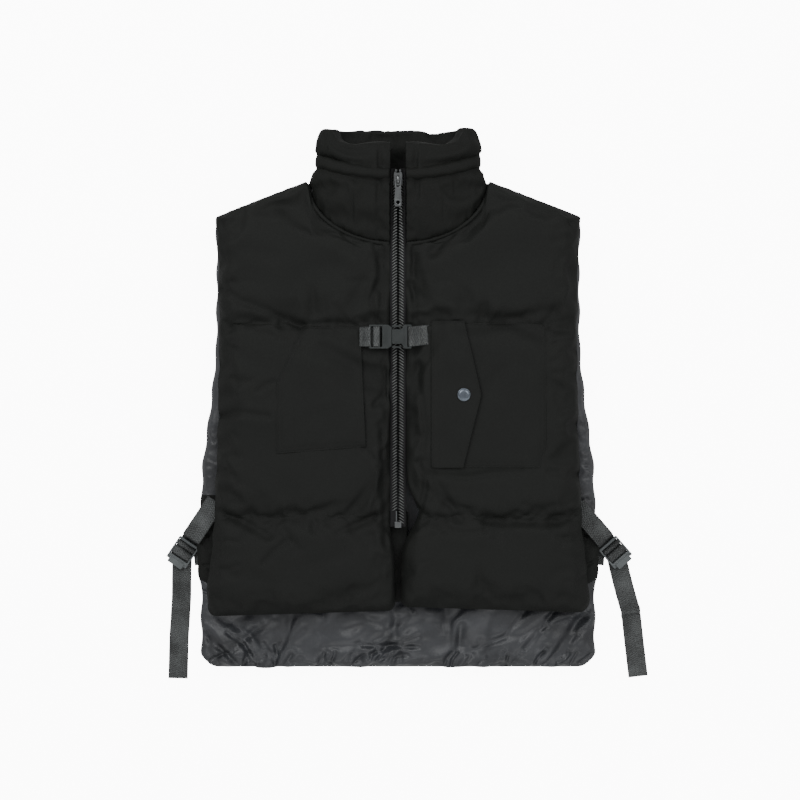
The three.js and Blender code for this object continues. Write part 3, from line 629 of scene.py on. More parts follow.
def back_panel():
    """The long back: outer cloth on the floor, shiny creased lining on top."""
    half_points = ([-352, -335, -244, -234, -215, -190, -172, -90, 0, 61, 178, 236],
                   [256, 259, 259, 263, 265, 264.5, 260.5, 257.5, 245.5, 239.5, 238.5, 240])
    hem = -355.0
    rows = np.concatenate([np.arange(hem, -250, 3.2), np.arange(-250, 232, 6.0)])
    columns = 112
    share = np.linspace(-1, 1, columns)
    run = SHOULDER_NECK - SHOULDER_TIP
    out = np.abs(share) * 238
    slope = SHOULDER_TIP[1] + (out - SHOULDER_TIP[0]) * run[1] / run[0] - 4
    roof = np.minimum(slope, NECK_Y - 2)
    upper = np.linspace(0, 1, 8)[1:, None]
    y = np.vstack([
        np.repeat(rows[:, None], columns, 1),
        rows[-1] + (roof - rows[-1])[None, :] * upper,
    ])
    wide = np.interp(y, *half_points) + 1.2 * np.sin(y / 8.0)
    x = wide * share[None, :]
    side_gap, low_gap = wide - np.abs(x), y - hem
    round_x, y = round_corner(np.abs(x), y, wide, hem, 19.0)
    x = round_x * np.sign(x)
    both = np.hypot(np.clip(16 - side_gap, 0, 16), np.clip(16 - low_gap, 0, 16))
    low_gap = np.where(both > 0.01, np.maximum(np.minimum(low_gap, 16 - both * 0.97), 0), low_gap)
    edge_gap = np.minimum(np.minimum(side_gap, low_gap), np.maximum(roof[None, :] - y, 0))
    edge_gap = np.maximum(edge_gap, 0)
    puff = dome(edge_gap, 16)
    hem_zone = np.exp(-(((y + 300) / 46) ** 2))
    slant = np.sin((x * 0.9 - y * 0.75) / 9.0 + 1.5 * bumps(x, y, 70, 3))
    ripple = np.sin(x / 6.5 + 1.2 * bumps(x, y, 60, 4)) * np.exp(-(((y - hem - 8) / 12) ** 2))
    crossed = np.sin(y / 4.2 + bumps(x, y, 50, 9)) * np.exp(-((x / 40) ** 2)) * hem_zone
    top = 10.0 * puff + hem_zone * dome(edge_gap, 10) * (
        1.3 * slant * np.clip(bumps(x, y, 140, 6) + 0.5, 0, 1) + 1.8 * ripple + 1.6 * crossed
    ) + 1.5 * bumps(x, y, 80, 7) * dome(edge_gap, 30) * (y < -220)
    folds = [
        ([(-30, -352), (-8, -318), (-2, -290)], 7, 4),
        ([(150, -350), (185, -318), (240, -296)], 8, 3),
        ([(205, -352), (228, -330), (252, -318)], 7, 2),
        ([(-240, -345), (-205, -318), (-180, -300)], 7, 3),
        ([(60, -350), (78, -325), (84, -300)], 6, 3),
    ]
    low = 12.6 * dome(edge_gap, 11)
    held = np.zeros_like(x)
    held[0], held[-1], held[:, 0], held[:, -1] = 1, 1, 1, 1
    held = np.where(y > -250, np.maximum(held, 0.8), held)
    level = 13.0 + np.zeros_like(x)
    points, faces, weights, split = pillow(x, y, level, np.maximum(top, 0), low, held)
    count = x.size
    weights[count:] = 1
    shell = piece("back_lining_sheet", points, faces, LINING, replaces=["back_lining"])
    swell(shell, weights, 1.2, 0.07, 6, bending=0.05)
    is_top = np.arange(len(faces)) < split
    outside = split_off(shell, "back_outside", is_top, SHELL,
                        ["back_shell", *[f"back_fill_{c}" for c in ("upper", "middle", "lower")]])
    for part in (shell, outside):
        subdivide(part)
    subdivide(shell)
    # Near the side vents the lining is swapped for dark shell cloth: the shell facing of the vent, and painted shade
    # where shadow falls between the back and the fronts.
    middles = np.array(centres(shell))
    reach = np.abs(middles[:, 0])
    start = np.where(middles[:, 0] < 0, -128, -151 - 1.35 * (reach - 239))
    sides = (reach > 226) & (middles[:, 1] < start) & (middles[:, 1] > -252 + 0.5 * (reach - 236))
    facing = split_off(shell, "side_facing_and_shade", ~sides, SHELL, [])
    crisp = wrinkles(81, 50, (0, -346), (250, 5), 58, 14, (14, 34), (2.0, 3.4), (1.4, 3.2))
    crisp += wrinkles(82, 12, (0, -312), (240, 20), 32, 30, (60, 130), (4.0, 8.0), (1.2, 2.8))
    crisp += wrinkles(83, 5, (-6, -322), (22, 20), 6, 10, (44, 70), (2.8, 4.0), (1.2, 2.4))
    crisp += wrinkles(84, 9, (205, -318), (40, 24), 42, 10, (50, 96), (3.2, 5.5), (1.8, 3.4))
    crisp += wrinkles(85, 8, (-205, -330), (40, 16), 128, 14, (34, 66), (2.8, 4.6), (1.4, 3.0))
    crisp += wrinkles(86, 30, (253, -120), (6, 150), 15, 30, (8, 22), (1.8, 3.4), (0.8, 2.2))
    crisp += wrinkles(87, 30, (-253, -120), (6, 150), 165, 30, (8, 22), (1.8, 3.4), (0.8, 2.2))
    crease(shell, folds + crisp, 1, 0.1)
    crease(facing, crisp, 1, 0.1)
    return shell, outside


right_front = front_panel("right", -1)
left_front = front_panel("left", 1)
back_lining, back_outside = back_panel()
chest = surface(right_front, left_front)


def shoulder_roll(side, sign):
    """The sewn shoulder edge: a flattened padded roll from the armhole to the collar."""
    turns, steps = 24, 40
    run = SHOULDER_NECK - SHOULDER_TIP
    along = run / np.linalg.norm(run)
    down = np.array([-along[1], along[0]])
    points = []
    for i in range(steps):
        t = i / (steps - 1)
        ends = min(1.0, 0.55 + 3 * t, 0.55 + 3 * (1 - t))
        middle = SHOULDER_TIP + run * t + down * 9.5
        bump = 1 + 0.03 * math.sin(i * 1.3)
        for j in range(turns):
            a = 2 * math.pi * j / turns
            off = down * math.cos(a) * 9.2 * ends * bump
            points.append([sign * (middle + off)[0], (middle + off)[1], 29 + 22 * math.sin(a) * ends])
    faces = grid_faces(steps, turns, wrap=True, flip=sign > 0)
    faces.append(list(range(turns)) if sign > 0 else list(range(turns))[::-1])
    tail = [(steps - 1) * turns + j for j in range(turns)]
    faces.append(tail[::-1] if sign > 0 else tail)
    roll = piece(f"{side}_shoulder_roll", points, faces, SHELL, replaces=[f"{side}_shoulder"])
    subdivide(roll)


def gusset(side, sign):
    """Cloth that closes the side under the arm, folded in between front and back."""
    rows, columns = 24, 9
    points = []
    for i in range(rows):
        y = -12 + 76 * i / (rows - 1)
        for j in range(columns):
            a = math.pi * (j / (columns - 1) - 0.5)
            z = 30 + 9 * math.sin(a)
            x = 226 + 4.5 * math.cos(a) + 0.8 * math.sin(y / 4.0) * math.cos(a)
            points.append([sign * x, y, z])
    count = len(points)
    points += [[p[0] - sign * 1.2, p[1], p[2]] for p in points[:count]]
    faces = grid_faces(rows, columns, flip=sign < 0)
    faces += grid_faces(rows, columns, count, flip=sign > 0)
    strip = piece(f"{side}_side_gusset", points, faces, SHELL,
                  replaces=[f"{side}_underarm_gusset"])
    subdivide(strip)


for side, sign in (("right", -1), ("left", 1)):
    shoulder_roll(side, sign)
    gusset(side, sign)


# ---------------------------------------------------------------- collar
RING_MID = (COLLAR_LOW[2] + COLLAR_HIGH[2]) / 2
RING_HALF = (COLLAR_HIGH[2] - COLLAR_LOW[2]) / 2
WALL = 24.0


def collar_ring(count):
    """Points round the neck from one zip edge, by the back, to the other, and their normals."""
    a = np.linspace(0, 2 * math.pi, 4001)
    power = 2 / 3.0
    ring = np.stack([
        -NECK_HALF * np.sign(np.sin(a)) * np.abs(np.sin(a)) ** power,
        RING_HALF * np.sign(np.cos(a)) * np.abs(np.cos(a)) ** power,
    ], -1)
    keep = ~((np.abs(ring[:, 0]) < ZIP_HALF) & (ring[:, 1] > 0))
    ring = ring[keep]
    reach = np.concatenate([[0], np.cumsum(np.linalg.norm(np.diff(ring, axis=0), axis=1))])
    even = np.linspace(0, reach[-1], count)
    ring = np.stack([np.interp(even, reach, ring[:, k]) for k in (0, 1)], -1)
    slope = np.gradient(ring, axis=0)
    normal = np.stack([-slope[:, 1], slope[:, 0]], -1)
    normal /= np.linalg.norm(normal, axis=1, keepdims=True)
    if (normal[count // 2] * ring[count // 2]).sum() < 0:
        normal = -normal
    return ring, normal


def collar_half(y):
    return np.interp(y, [277, 286, 295, 321, 343, 352], [117.5, 113.5, 110, 107.5, 103, 101.5])


def band_low(x):
    return 279.0 + 19 * (np.abs(x) / NECK_HALF) ** 2


def place_on_collar(ring, normal, y, depth):
    """A point at height y on the ring's column, depth inside the outer surface."""
    narrow = collar_half(y) / NECK_HALF
    x = ring[:, 0] * narrow - normal[:, 0] * depth
    front = np.clip(ring[:, 1] / 12, 0, 1)
    sink = 17 * np.clip((287 - y) / 87, 0, 1) * front
    z = RING_MID + ring[:, 1] - normal[:, 1] * depth - sink
    return np.stack([x, y, z], -1)


def collar():
    """The padded collar: stand, raised band, soft rolled top and inner face."""
    count = 168
    ring, normal = collar_ring(count)
    share = np.abs(ring[:, 0]) / NECK_HALF
    front = ring[:, 1] > 0
    base = np.where(front, NECK_Y - 2 - NECK_DROP * np.sqrt(np.maximum(1 - share ** 2, 0)), 270.0)
    soft = np.clip((share - 0.97) / 0.03, 0, 1)
    base = base * (1 - soft) + 272 * soft
    front_top = np.interp(share, [0.09, 0.5, 0.72, 0.86, 1], [329, 331, 338, 350, 351])
    back_top = np.interp(share, [0, 0.6, 0.85, 1], [349.5, 350, 351, 351])
    mix = np.clip(ring[:, 1] / 26 + 0.5, 0, 1)
    top = front_top * mix + back_top * (1 - mix)
    top = top + 0.9 * np.sin(ring[:, 0] / 17.0 + 1.0) * np.sin(ring[:, 0] / 41.0) - 0.5
    low_band = np.where(front, band_low(ring[:, 0]), band_low(NECK_HALF))
    radius = WALL / 2
    rows = []
    outer_rows = 22
    for i in range(outer_rows):
        t = i / (outer_rows - 1)
        y = base + (top - radius - base) * t
        stand = np.clip((y - base) / np.maximum(low_band - base, 1), 0, 1)
        upper = np.clip((y - low_band - 17) / np.maximum(top - radius - low_band - 17, 1), 0, 1)
        puff = 4.0 * np.sin(math.pi * stand) + 2.5 * np.sin(math.pi * upper)
        facing = 0.3 + 0.7 * np.clip(normal[:, 1], 0, 1)
        dip = 3.4 * np.exp(-(((y - low_band + 1.0) / 4.0) ** 2))
        dip = dip + 2.2 * np.exp(-(((y - low_band - 18.0) / 3.5) ** 2))
        seam = 1.5 * np.exp(-(((y - base) / 5.0) ** 2)) * front
        placket = np.where(front, 1.0, 0.0) * np.exp(-(((np.abs(ring[:, 0]) - 16) / 4.5) ** 2))
        pleat = np.where(front, 1.0, 0.0) * np.exp(-(((np.abs(ring[:, 0]) - 25) / 3.2) ** 2))
        depth = 2.5 + seam + (dip - puff * 0.8) * facing - 1.8 * placket + 1.6 * pleat
        rows.append(place_on_collar(ring, normal, y, depth))
    turn_rows = 9
    for i in range(1, turn_rows):
        a = math.pi * i / turn_rows
        y = top - radius + radius * math.sin(a) ** 0.6
        across = math.copysign(abs(math.cos(a)) ** 0.7, math.cos(a))
        rows.append(place_on_collar(ring, normal, y, radius + 2.5 - radius * across))
    inner_rows = 12
    floor_y = np.maximum(base + 8, 240.0)
    for i in range(inner_rows):
        y = (top - radius) + (floor_y - top + radius) * i / (inner_rows - 1)
        rows.append(place_on_collar(ring, normal, y, WALL + 2.5 + 1.5 * math.sin(i * 0.9)))
    grid = np.stack(rows)
    total = grid.shape[0]
    points = grid.reshape(-1, 3)
    faces = grid_faces(total, count)
    split = (outer_rows + turn_rows - 2) * (count - 1)
    for column, back in ((0, False), (count - 1, True)):
        wall = [i * count + column for i in range(total)]
        pairs = total // 2
        for i in range(pairs - 1):
            quad = [wall[i], wall[i + 1], wall[total - 2 - i], wall[total - 1 - i]]
            faces.append(quad if back else quad[::-1])
    under = [[j, j + 1, (total - 1) * count + j + 1, (total - 1) * count + j][::-1] for j in range(count - 1)]
    faces += under
    held = np.zeros((total, count))
    held[0], held[-1] = 1, 1
    held[:, 0] = held[:, -1] = 0.9
    held[outer_rows + turn_rows:] = np.maximum(held[outer_rows + turn_rows:], 0.5)
    near_band = np.abs(grid[:, :, 1] - low_band[None, :]) < 3
    near_band[outer_rows:] = False
    held = np.where(near_band, np.maximum(held, 0.7), held)
    body = piece("collar_outside", points, faces, COLLAR,
                 replaces=["collar_shell", "collar_fill"])
    swell(body, held.ravel(), 2.2, 0.07, 6)
    kept = np.ones(len(faces), bool)
    inner_start = split
    kept[inner_start:(total - 1) * (count - 1)] = False
    inner = split_off(body, "collar_inside", kept, COLLAR, ["collar_lining"])
    for part in (body, inner):
        subdivide(part)
    folds = [
        ([(-99, 296), (-75, 286), (-48, 268)], 4.5, 3.2),
        ([(-60, 262), (-38, 246), (-24, 240)], 5, 1.8),
        ([(-22, 325), (-20, 290), (-23, 262), (-19, 240)], 3.2, 2.6),
        ([(22, 325), (21, 300), (24, 280)], 3.0, 2.2),
        ([(52, 345), (44, 334), (34, 318)], 4, 3.6),
        ([(84, 344), (62, 334), (48, 322), (40, 312)], 4.5, 3.0),
        ([(96, 336), (74, 322), (60, 318)], 5, 2.2),
        ([(16, 278), (54, 284), (103, 296)], 4, 2.4),
        ([(-92, 340), (-74, 328), (-66, 316)], 6, 2.2),
        ([(-78, 346), (-60, 336), (-40, 331)], 5, 1.8),
        ([(105, 262), (92, 240), (70, 222)], 5, 1.8),
    ]
    folds += wrinkles(91, 26, (0, 292), (100, 34), 25, 45, (12, 34), (2.6, 5), (0.5, 1.5))
    crease(body, folds)
    return body


def neck_piping():
    """A soft cord of cloth sewn into the seam between collar and fronts."""
    steps, turns = 90, 10
    for side, sign in (("right", -1), ("left", 1)):
        points = []
        for i in range(steps):
            a = math.radians(5.6 + (88.5 - 5.6) * i / (steps - 1))
            x = (NECK_HALF + 0.5) * math.sin(a)
            y = NECK_Y - 1.5 - NECK_DROP * math.cos(a)
            z = 60.4 - 1.2 * math.sin(a) ** 2 - 9 * max(0, math.sin(a) - 0.9) / 0.1
            out = np.array([math.sin(a) * 0.7, -math.cos(a), 0])
            out /= np.linalg.norm(out)
            size = 2.7 + 0.25 * math.sin(i * 0.9) * math.sin(i * 0.23)
            for j in range(turns):
                t = 2 * math.pi * j / turns
                spot = np.array([x, y, z]) + out * math.cos(t) * size + np.array([0, 0, math.sin(t) * size])
                points.append([sign * spot[0], spot[1], spot[2]])
        faces = grid_faces(steps, turns, wrap=True, flip=sign < 0)
        ends = [list(range(turns))[::-1], [(steps - 1) * turns + j for j in range(turns)]]
        faces += [end[::-1] for end in ends] if sign < 0 else ends
        cord = piece(f"{side}_neck_piping", points, faces, SHELL)


def collar_band(side, sign):
    """Raised welt round half of the collar, from the zip edge to behind the shoulder."""
    ring, normal = collar_ring(168)
    chosen = (np.sign(ring[:, 0]) == sign) & (ring[:, 1] > -22)
    ring, normal = ring[chosen], normal[chosen]
    if sign > 0:
        ring, normal = ring[::-1], normal[::-1]
    low = np.where(ring[:, 1] > 0, band_low(ring[:, 0]), band_low(NECK_HALF))
    width, rise = 16.5, 5.2
    section = 13
    rows = []
    for i in range(section):
        t = i / (section - 1)
        facing = 0.35 + 0.65 * np.clip(normal[:, 1], 0, 1)
        lift = rise * (1 - abs(2 * t - 1) ** 3.0) * (1.12 - 0.3 * t) * facing
        wave = 0.35 * np.sin(np.arange(len(ring)) * 0.9 + t * 2)
        rows.append(place_on_collar(ring, normal, low + 0.5 + width * t + wave, 3.2 - lift))
    for i in range(section):
        t = 1 - i / (section - 1)
        rows.append(place_on_collar(ring, normal, low + 1.5 + (width - 2) * t, 5.2 + 0 * ring[:, 0]))
    count = len(ring)
    points = np.stack(rows).reshape(-1, 3)
    faces = []
    total = 2 * section
    for i in range(total):
        k = (i + 1) % total
        for j in range(count - 1):
            quad = [i * count + j, i * count + j + 1, k * count + j + 1, k * count + j]
            faces.append(quad if sign < 0 else quad[::-1])
    for column in (0, count - 1):
        cap = [i * count + column for i in range(total)]
        faces.append(cap)
    band = piece(f"{side}_collar_band", points, faces, COLLAR,
                 replaces=[f"{side}_collar_welt"])
    subdivide(band)


collar()
neck_piping()
collar_band("right", -1)
collar_band("left", 1)


# ---------------------------------------------------------------- cloth sewn on the chest
def gap_to(x, y, loop):
    """Distance from points to a closed outline."""
    near = np.full(x.shape, 1e9)
    for (x0, y0), (x1, y1) in zip(loop, loop[1:] + loop[:1]):
        dx, dy = x1 - x0, y1 - y0
        t = np.clip(((x - x0) * dx + (y - y0) * dy) / (dx * dx + dy * dy), 0, 1)
        near = np.minimum(near, np.hypot(x - x0 - t * dx, y - y0 - t * dy))
    return near


def loop_area(loop):
    return 0.5 * abs(sum(x0 * y1 - x1 * y0 for (x0, y0), (x1, y1) in zip(loop, loop[1:] + loop[:1])))


def eased(count, fine=(0, 0.7, 1.5, 2.4, 3.6), length=120.0):
    """Shares from 0 to 1 that crowd together at both ends, where the turned edge is."""
    edge = np.array(fine) / length
    middle = np.linspace(edge[-1], 1 - edge[-1], count)
    return np.concatenate([edge[:-1], middle, (1 - edge[:-1])[::-1]])


def blur(z, times):
    for _ in range(times):
        wide = np.pad(z, 1, mode="edge")
        z = (wide[1:-1, 1:-1] * 2 + wide[:-2, 1:-1] + wide[2:, 1:-1] + wide[1:-1, :-2] + wide[1:-1, 2:]) / 6
    return z


def heights(trees, x, y, times=3):
    found = np.array([height(trees, a, b) for a, b in zip(x.ravel(), y.ravel())]).reshape(x.shape)
    return blur(found, times)


def stitch_row(name, routes, trees, sink=0.1):
    """Lockstitch: short rounded thread dashes that lie along the routes on the cloth."""
    points, faces = [], []
    length, rest = 2.7, 0.9
    for route in routes:
        route = np.array(route, float)
        legs = np.linalg.norm(np.diff(route, axis=0), axis=1)
        reach = np.concatenate([[0], np.cumsum(legs)])
        for start in np.arange(0.4, reach[-1] - length, length + rest):
            ends = [np.array([np.interp(s, reach, route[:, k]) for k in (0, 1)]) for s in
                    (start, start + length)]
            way = (ends[1] - ends[0]) / length
            side = np.array([-way[1], way[0]])
            middle = (ends[0] + ends[1]) / 2
            z = height(trees, *middle)
            base = len(points)
            for t, r in ((-0.5, 0.08), (-0.36, 0.3), (0, 0.36), (0.36, 0.3), (0.5, 0.08)):
                spot = middle + way * length * t
                drop = -0.5 * abs(2 * t) ** 3
                for j in range(5):
                    a = 2 * math.pi * j / 5
                    flat = spot + side * math.cos(a) * r
                    points.append([flat[0], flat[1], z - sink + drop + math.sin(a) * r + 0.15])
            faces += [[q + base for q in face] for face in grid_faces(5, 5, wrap=True)]
            faces.append([base + j for j in range(5)][::-1])
            faces.append([base + 20 + j for j in range(5)])
    return piece(name, points, faces, THREAD)


def sewn_patch(name, x, y, loop, trees, replaces, mouth=None, puff=2.2, wear=3):
    """A patch pocket: cloth sewn down round its edge, bridging the soft ground under it."""
    ground = heights(trees, x, y, 4)
    gap = gap_to(x, y, loop)
    top = 1.5 * dome(gap, 1.6) + puff * dome(np.maximum(gap - 3, 0), 30) + 0.5 * bumps(x, y, 60, wear)
    top = top - 0.7 * np.exp(-(((gap - 2.2) / 0.9) ** 2)) - 0.6 * np.exp(-(((gap - 7.5) / 0.9) ** 2))
    level = ground - 0.4
    if mouth:
        near = groove(x, y, mouth, 7.0)
        level = level + 2.6 * near
        top = top + 0.6 * near
    held = np.zeros_like(x)
    low = 0.5 * dome(gap, 3)
    points, faces, _, _ = pillow(x, y, level, np.maximum(top, 0.0) * (gap > 0.2), low, held)
    patch = piece(name, points, faces, SHELL, replaces=replaces)
    subdivide(patch)
    loop_area(loop) * MM * MM
    return patch


def right_pocket():
    loop = [(-124, 92), (-158, 17), (-158, -74), (-41, -65), (-47, 65), (-49, 92)]
    u, v = np.meshgrid(eased(34, length=100), eased(46, length=160))
    bottom = -74 + 9 * u
    y = bottom + (92 - bottom) * v
    left = np.interp(y, [-74, 17, 92], [-158, -158, -124])
    right = np.interp(y, [-65, 65, 92], [-41, -47, -49])
    x = left + (right - left) * u
    patch = sewn_patch("right_patch_pocket", x, y, loop, chest, ["right_chest_pocket"],
                       mouth=[(-42, -58), (-46.5, 60)], wear=3)
    routes = []
    for inset in (2.2, 7.5):
        routes.append([(-122 + inset * 0.3, 91 - inset * 0.6), (-158 + inset, 17), (-158 + inset, -72)])
    routes.append([(-156, -74 + 2.6), (-43, -65 + 2.6)])
    routes.append([(-156, -74 + 7.9), (-43, -65 + 7.9)])
    routes.append([(-121, 92 - 2.2), (-51, 92 - 2.2)])
    routes.append([(-49 - 2.2, 90), (-47 - 2.2, 66)])
    stitch_row("right_pocket_stitching", routes, surface(patch))
    return patch


def left_pocket():
    round_corner = [(192 - 13 + 13 * math.sin(a), 97 - 13 + 13 * math.cos(a)) for a in
                    np.linspace(0, math.pi / 2, 6)]
    loop = [(58, 97), *round_corner, (192, -66), (184, -92), (58, -92)]
    u, v = np.meshgrid(eased(38, length=130), eased(52, length=186))
    y = -92 + 189 * v
    wide = [184, 192, 192] + [p[0] for p in round_corner[::-1]] + [179]
    high = [-92, -66, 84] + [p[1] for p in round_corner[::-1]] + [97.01]
    x = 58 + (np.interp(y, high, wide) - 58) * u
    patch = sewn_patch("left_patch_pocket", x, y, loop, chest, ["left_chest_pocket"], wear=4)
    routes = []
    for inset in (2.2, 7.5):
        routes.append([(96, 97 - inset), (178, 97 - inset), (188 - inset * 0.8, 91 - inset * 0.6),
                       (192 - inset, 82), (192 - inset, -65), (184.5 - inset * 0.9, -90)])
        routes.append([(60, -92 + inset), (182, -92 + inset)])
    stitch_row("left_pocket_stitching", routes, surface(patch))
    return patch


def pocket_flap(pocket):
    """The flap: one sheet from its sewn root, over the pocket, to a raised pointed edge."""
    tip = [(84.5, -92), (108, 3), (86, 99)]
    loop = [(42.5, -92), *tip, (42.5, 99)]
    u, v = np.meshgrid(eased(26, length=50), eased(56, length=190))
    y = -92 + 191 * v
    edge = np.interp(y, [-92, 3, 99], [84.5, 108, 86])
    x = 42.5 + (edge - 42.5) * u
    trees = [*chest, *surface(pocket)]
    ground = heights(trees, x, y, 6)
    free = edge - x
    gap = gap_to(x, y, loop)
    root = np.clip((x - 42.5) / 9, 0, 1)
    level = ground + 0.4 + 1.3 * root + 2.0 * np.exp(-free / 9) * (0.75 + 0.35 * np.sin(y / 31 + 1))
    level = level + 0.9 * np.exp(-((np.abs(y - 3.5) - 96) / 10) ** 2) * root
    top = 1.3 * dome(gap, 1.4) + 0.35 * bumps(x, y, 50, 12)
    top = top - 0.45 * np.exp(-(((gap - 2.4) / 0.8) ** 2)) - 0.4 * np.exp(-(((x - 50) / 0.9) ** 2))
    top = np.maximum(top, 0.1) * (gap > 0.2)
    points, faces, _, _ = pillow(x, y, level, top, 0.3 * dome(gap, 2), np.zeros_like(x))
    flap = piece("left_flap_cloth", points, faces, SHELL, body=None,
                 replaces=["left_pocket_flap", "left_flap_root"])
    subdivide(flap)
    loop_area(loop) * MM * MM
    over = surface(flap)
    routes = [[(44.6, 97), (44.6, -90)], [(50, 97), (50, -90)]]
    root_rows = stitch_row("left_flap_root_stitching", routes[:1], over)
    inset = 2.4
    edge_route = [(52, 99 - inset), (85, 99 - inset), (108 - inset, 3), (83.5, -92 + inset), (52, -92 + inset)]
    edge_rows = stitch_row("left_flap_stitching", [edge_route, [(53, 96), (53, -89)]], over)
    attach(edge_rows, "flap")
    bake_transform(flap)
    return flap, root_rows


def lathe(name, profile, centre, material, body, replaces, turns=40):
    """A round part: profile is radius and height from the axis at the top to the axis below."""
    points, faces = [], []
    for r, z in profile:
        for j in range(turns):
            a = 2 * math.pi * j / turns
            points.append([centre[0] + r * math.cos(a), centre[1] + r * math.sin(a), centre[2] + z])
    faces += grid_faces(len(profile), turns, wrap=True, flip=True)
    faces.append(list(range(turns)))
    faces.append([(len(profile) - 1) * turns + j for j in range(turns)][::-1])
    return piece(name, points, faces, material, body=body, replaces=replaces)


right_pocket()
left_patch = left_pocket()
flap, _ = pocket_flap(left_patch)
SNAP_XY = (span("snap_cap")[0][:2] + span("snap_cap")[1][:2]) / 2
on_flap = height(surface(flap), *SNAP_XY)
on_pocket = height(surface(left_patch), *SNAP_XY)
CAP = [(0.4, 2.35), (2.4, 2.3), (4.4, 2.1), (6.0, 1.75), (6.7, 1.35), (6.9, 1.05), (7.1, 1.35), (7.6, 1.6),
       (8.1, 1.5), (8.45, 1.1), (8.5, 0.5), (8.2, 0.0), (7.6, -0.2), (0.4, -0.2)]
lathe("snap_cap_face", CAP, (*SNAP_XY, on_flap - 0.1), SNAP, "flap", ["snap_cap"])
STUD = [(0.4, 1.3), (1.7, 1.25), (2.1, 0.9), (1.9, 0.5), (2.4, 0.25), (4.6, 0.2), (5.3, 0.0), (5.4, -0.3), (0.4, -0.3)]
lathe("snap_stud_face", STUD, (*SNAP_XY, on_pocket + 0.05), SNAP, "vest", ["snap_stud"])
RING = [(2.5, 0.0), (5.4, 0.0), (5.9, -0.3), (5.6, -0.75), (4.6, -0.9), (3.4, -0.85), (2.6, -0.5), (2.5, 0.0)]


def snap_ring():
    under = on_flap - 1.5
    turns = 40
    points = [[SNAP_XY[0] + r * math.cos(2 * math.pi * j / turns),
               SNAP_XY[1] + r * math.sin(2 * math.pi * j / turns), under + z]
              for r, z in RING[:-1] for j in range(turns)]
    faces = grid_faces(len(RING) - 1, turns, wrap=True, flip=True)
    last = (len(RING) - 2) * turns
    faces += [[last + j, j, (j + 1) % turns, last + (j + 1) % turns] for j in range(turns)]
    piece("snap_socket_face", points, faces, SNAP, "flap", ["snap_socket"])


snap_ring()


# ---------------------------------------------------------------- plates
def cut_plate(loops, low, high, edge):
    """Points and faces of a flat moulded plate: an outline, then its holes, with rounded edges."""
    curve = bpy.data.curves.new("cut", "CURVE")
    curve.dimensions = "2D"
    curve.fill_mode = "BOTH"
    curve.extrude = (high - low) / 2 - edge
    curve.bevel_depth = edge
    curve.bevel_resolution = 2
    curve.offset = -edge
    for number, loop in enumerate(loops):
        turn = sum(x0 * y1 - x1 * y0 for (x0, y0), (x1, y1) in zip(loop, loop[1:] + loop[:1]))
        if (turn > 0) != (number == 0):
            loop = loop[::-1]
        spline = curve.splines.new("POLY")
        spline.points.add(len(loop) - 1)
        for point, (x, y) in zip(spline.points, loop):
            point.co = (x, y, 0, 1)
        spline.use_cyclic_u = True
    holder = bpy.data.objects.new("cut", curve)
    bpy.context.scene.collection.objects.link(holder)
    graph = bpy.context.evaluated_depsgraph_get()
    mesh = bpy.data.meshes.new_from_object(holder.evaluated_get(graph))
    points = np.array([v.co[:] for v in mesh.vertices])
    faces = [list(p.vertices) for p in mesh.polygons]
    bpy.data.objects.remove(holder)
    bpy.data.curves.remove(curve)
    bpy.data.meshes.remove(mesh)
    points[:, 2] += (low + high) / 2
    return points, faces


def box_loop(x0, x1, y0, y1, r=0.0):
    """A rectangle outline with rounded corners."""
    if r <= 0:
        return [(x0, y0), (x1, y0), (x1, y1), (x0, y1)]
    loop = []
    for cx, cy, start in ((x1 - r, y0 + r, -90), (x1 - r, y1 - r, 0), (x0 + r, y1 - r, 90), (x0 + r, y0 + r, 180)):
        for step in range(5):
            a = math.radians(start + 22.5 * step)
            loop.append((cx + r * math.cos(a), cy + r * math.sin(a)))
    return loop


def rounded(corners, reach=1.2):
    """An outline whose corners are cut back and rounded."""
    loop = []
    for before, here, after in zip(corners[-1:] + corners[:-1], corners, corners[1:] + corners[:1]):
        here = np.array(here, float)
        a, b = np.array(before) - here, np.array(after) - here
        ra = here + a / np.linalg.norm(a) * min(reach, np.linalg.norm(a) / 2.2)
        rb = here + b / np.linalg.norm(b) * min(reach, np.linalg.norm(b) / 2.2)
        for t in (0, 0.25, 0.5, 0.75, 1):
            spot = ra * (1 - t) ** 2 + here * 2 * t * (1 - t) + rb * t * t
            loop.append((float(spot[0]), float(spot[1])))
    return loop


def join(parts):
    points, faces = [], []
    for part_points, part_faces in parts:
        faces += [[v + len(points) for v in face] for face in part_faces]
        points += [list(p) for p in part_points]
    return np.array(points), faces


def hard(name, parts, material, body, replaces, move=None):
    """A rigid piece made of moulded or cast plates."""
    points, faces = join(parts)
    if move:
        points = move(points)
    made = piece(name, points, faces, material, body, replaces, smooth=False)
    made.data.polygons.foreach_set("use_smooth", [True] * len(made.data.polygons))
    made.data.set_sharp_from_angle(angle=math.radians(32))
    return made


def bar(x0, x1, y0, y1, low, high, edge=0.5):
    return cut_plate([box_loop(x0, x1, y0, y1, min(edge * 1.6, (y1 - y0) / 2.1, (x1 - x0) / 2.1))], low, high, edge)


# ---------------------------------------------------------------- chest buckle
BUCKLE_Y = 78.0
RIM = 15.6
SLOT_HALF = WEB_WIDTH / 2 + 0.2


def at_chest(points):
    return points + np.array([0, BUCKLE_Y, 0])


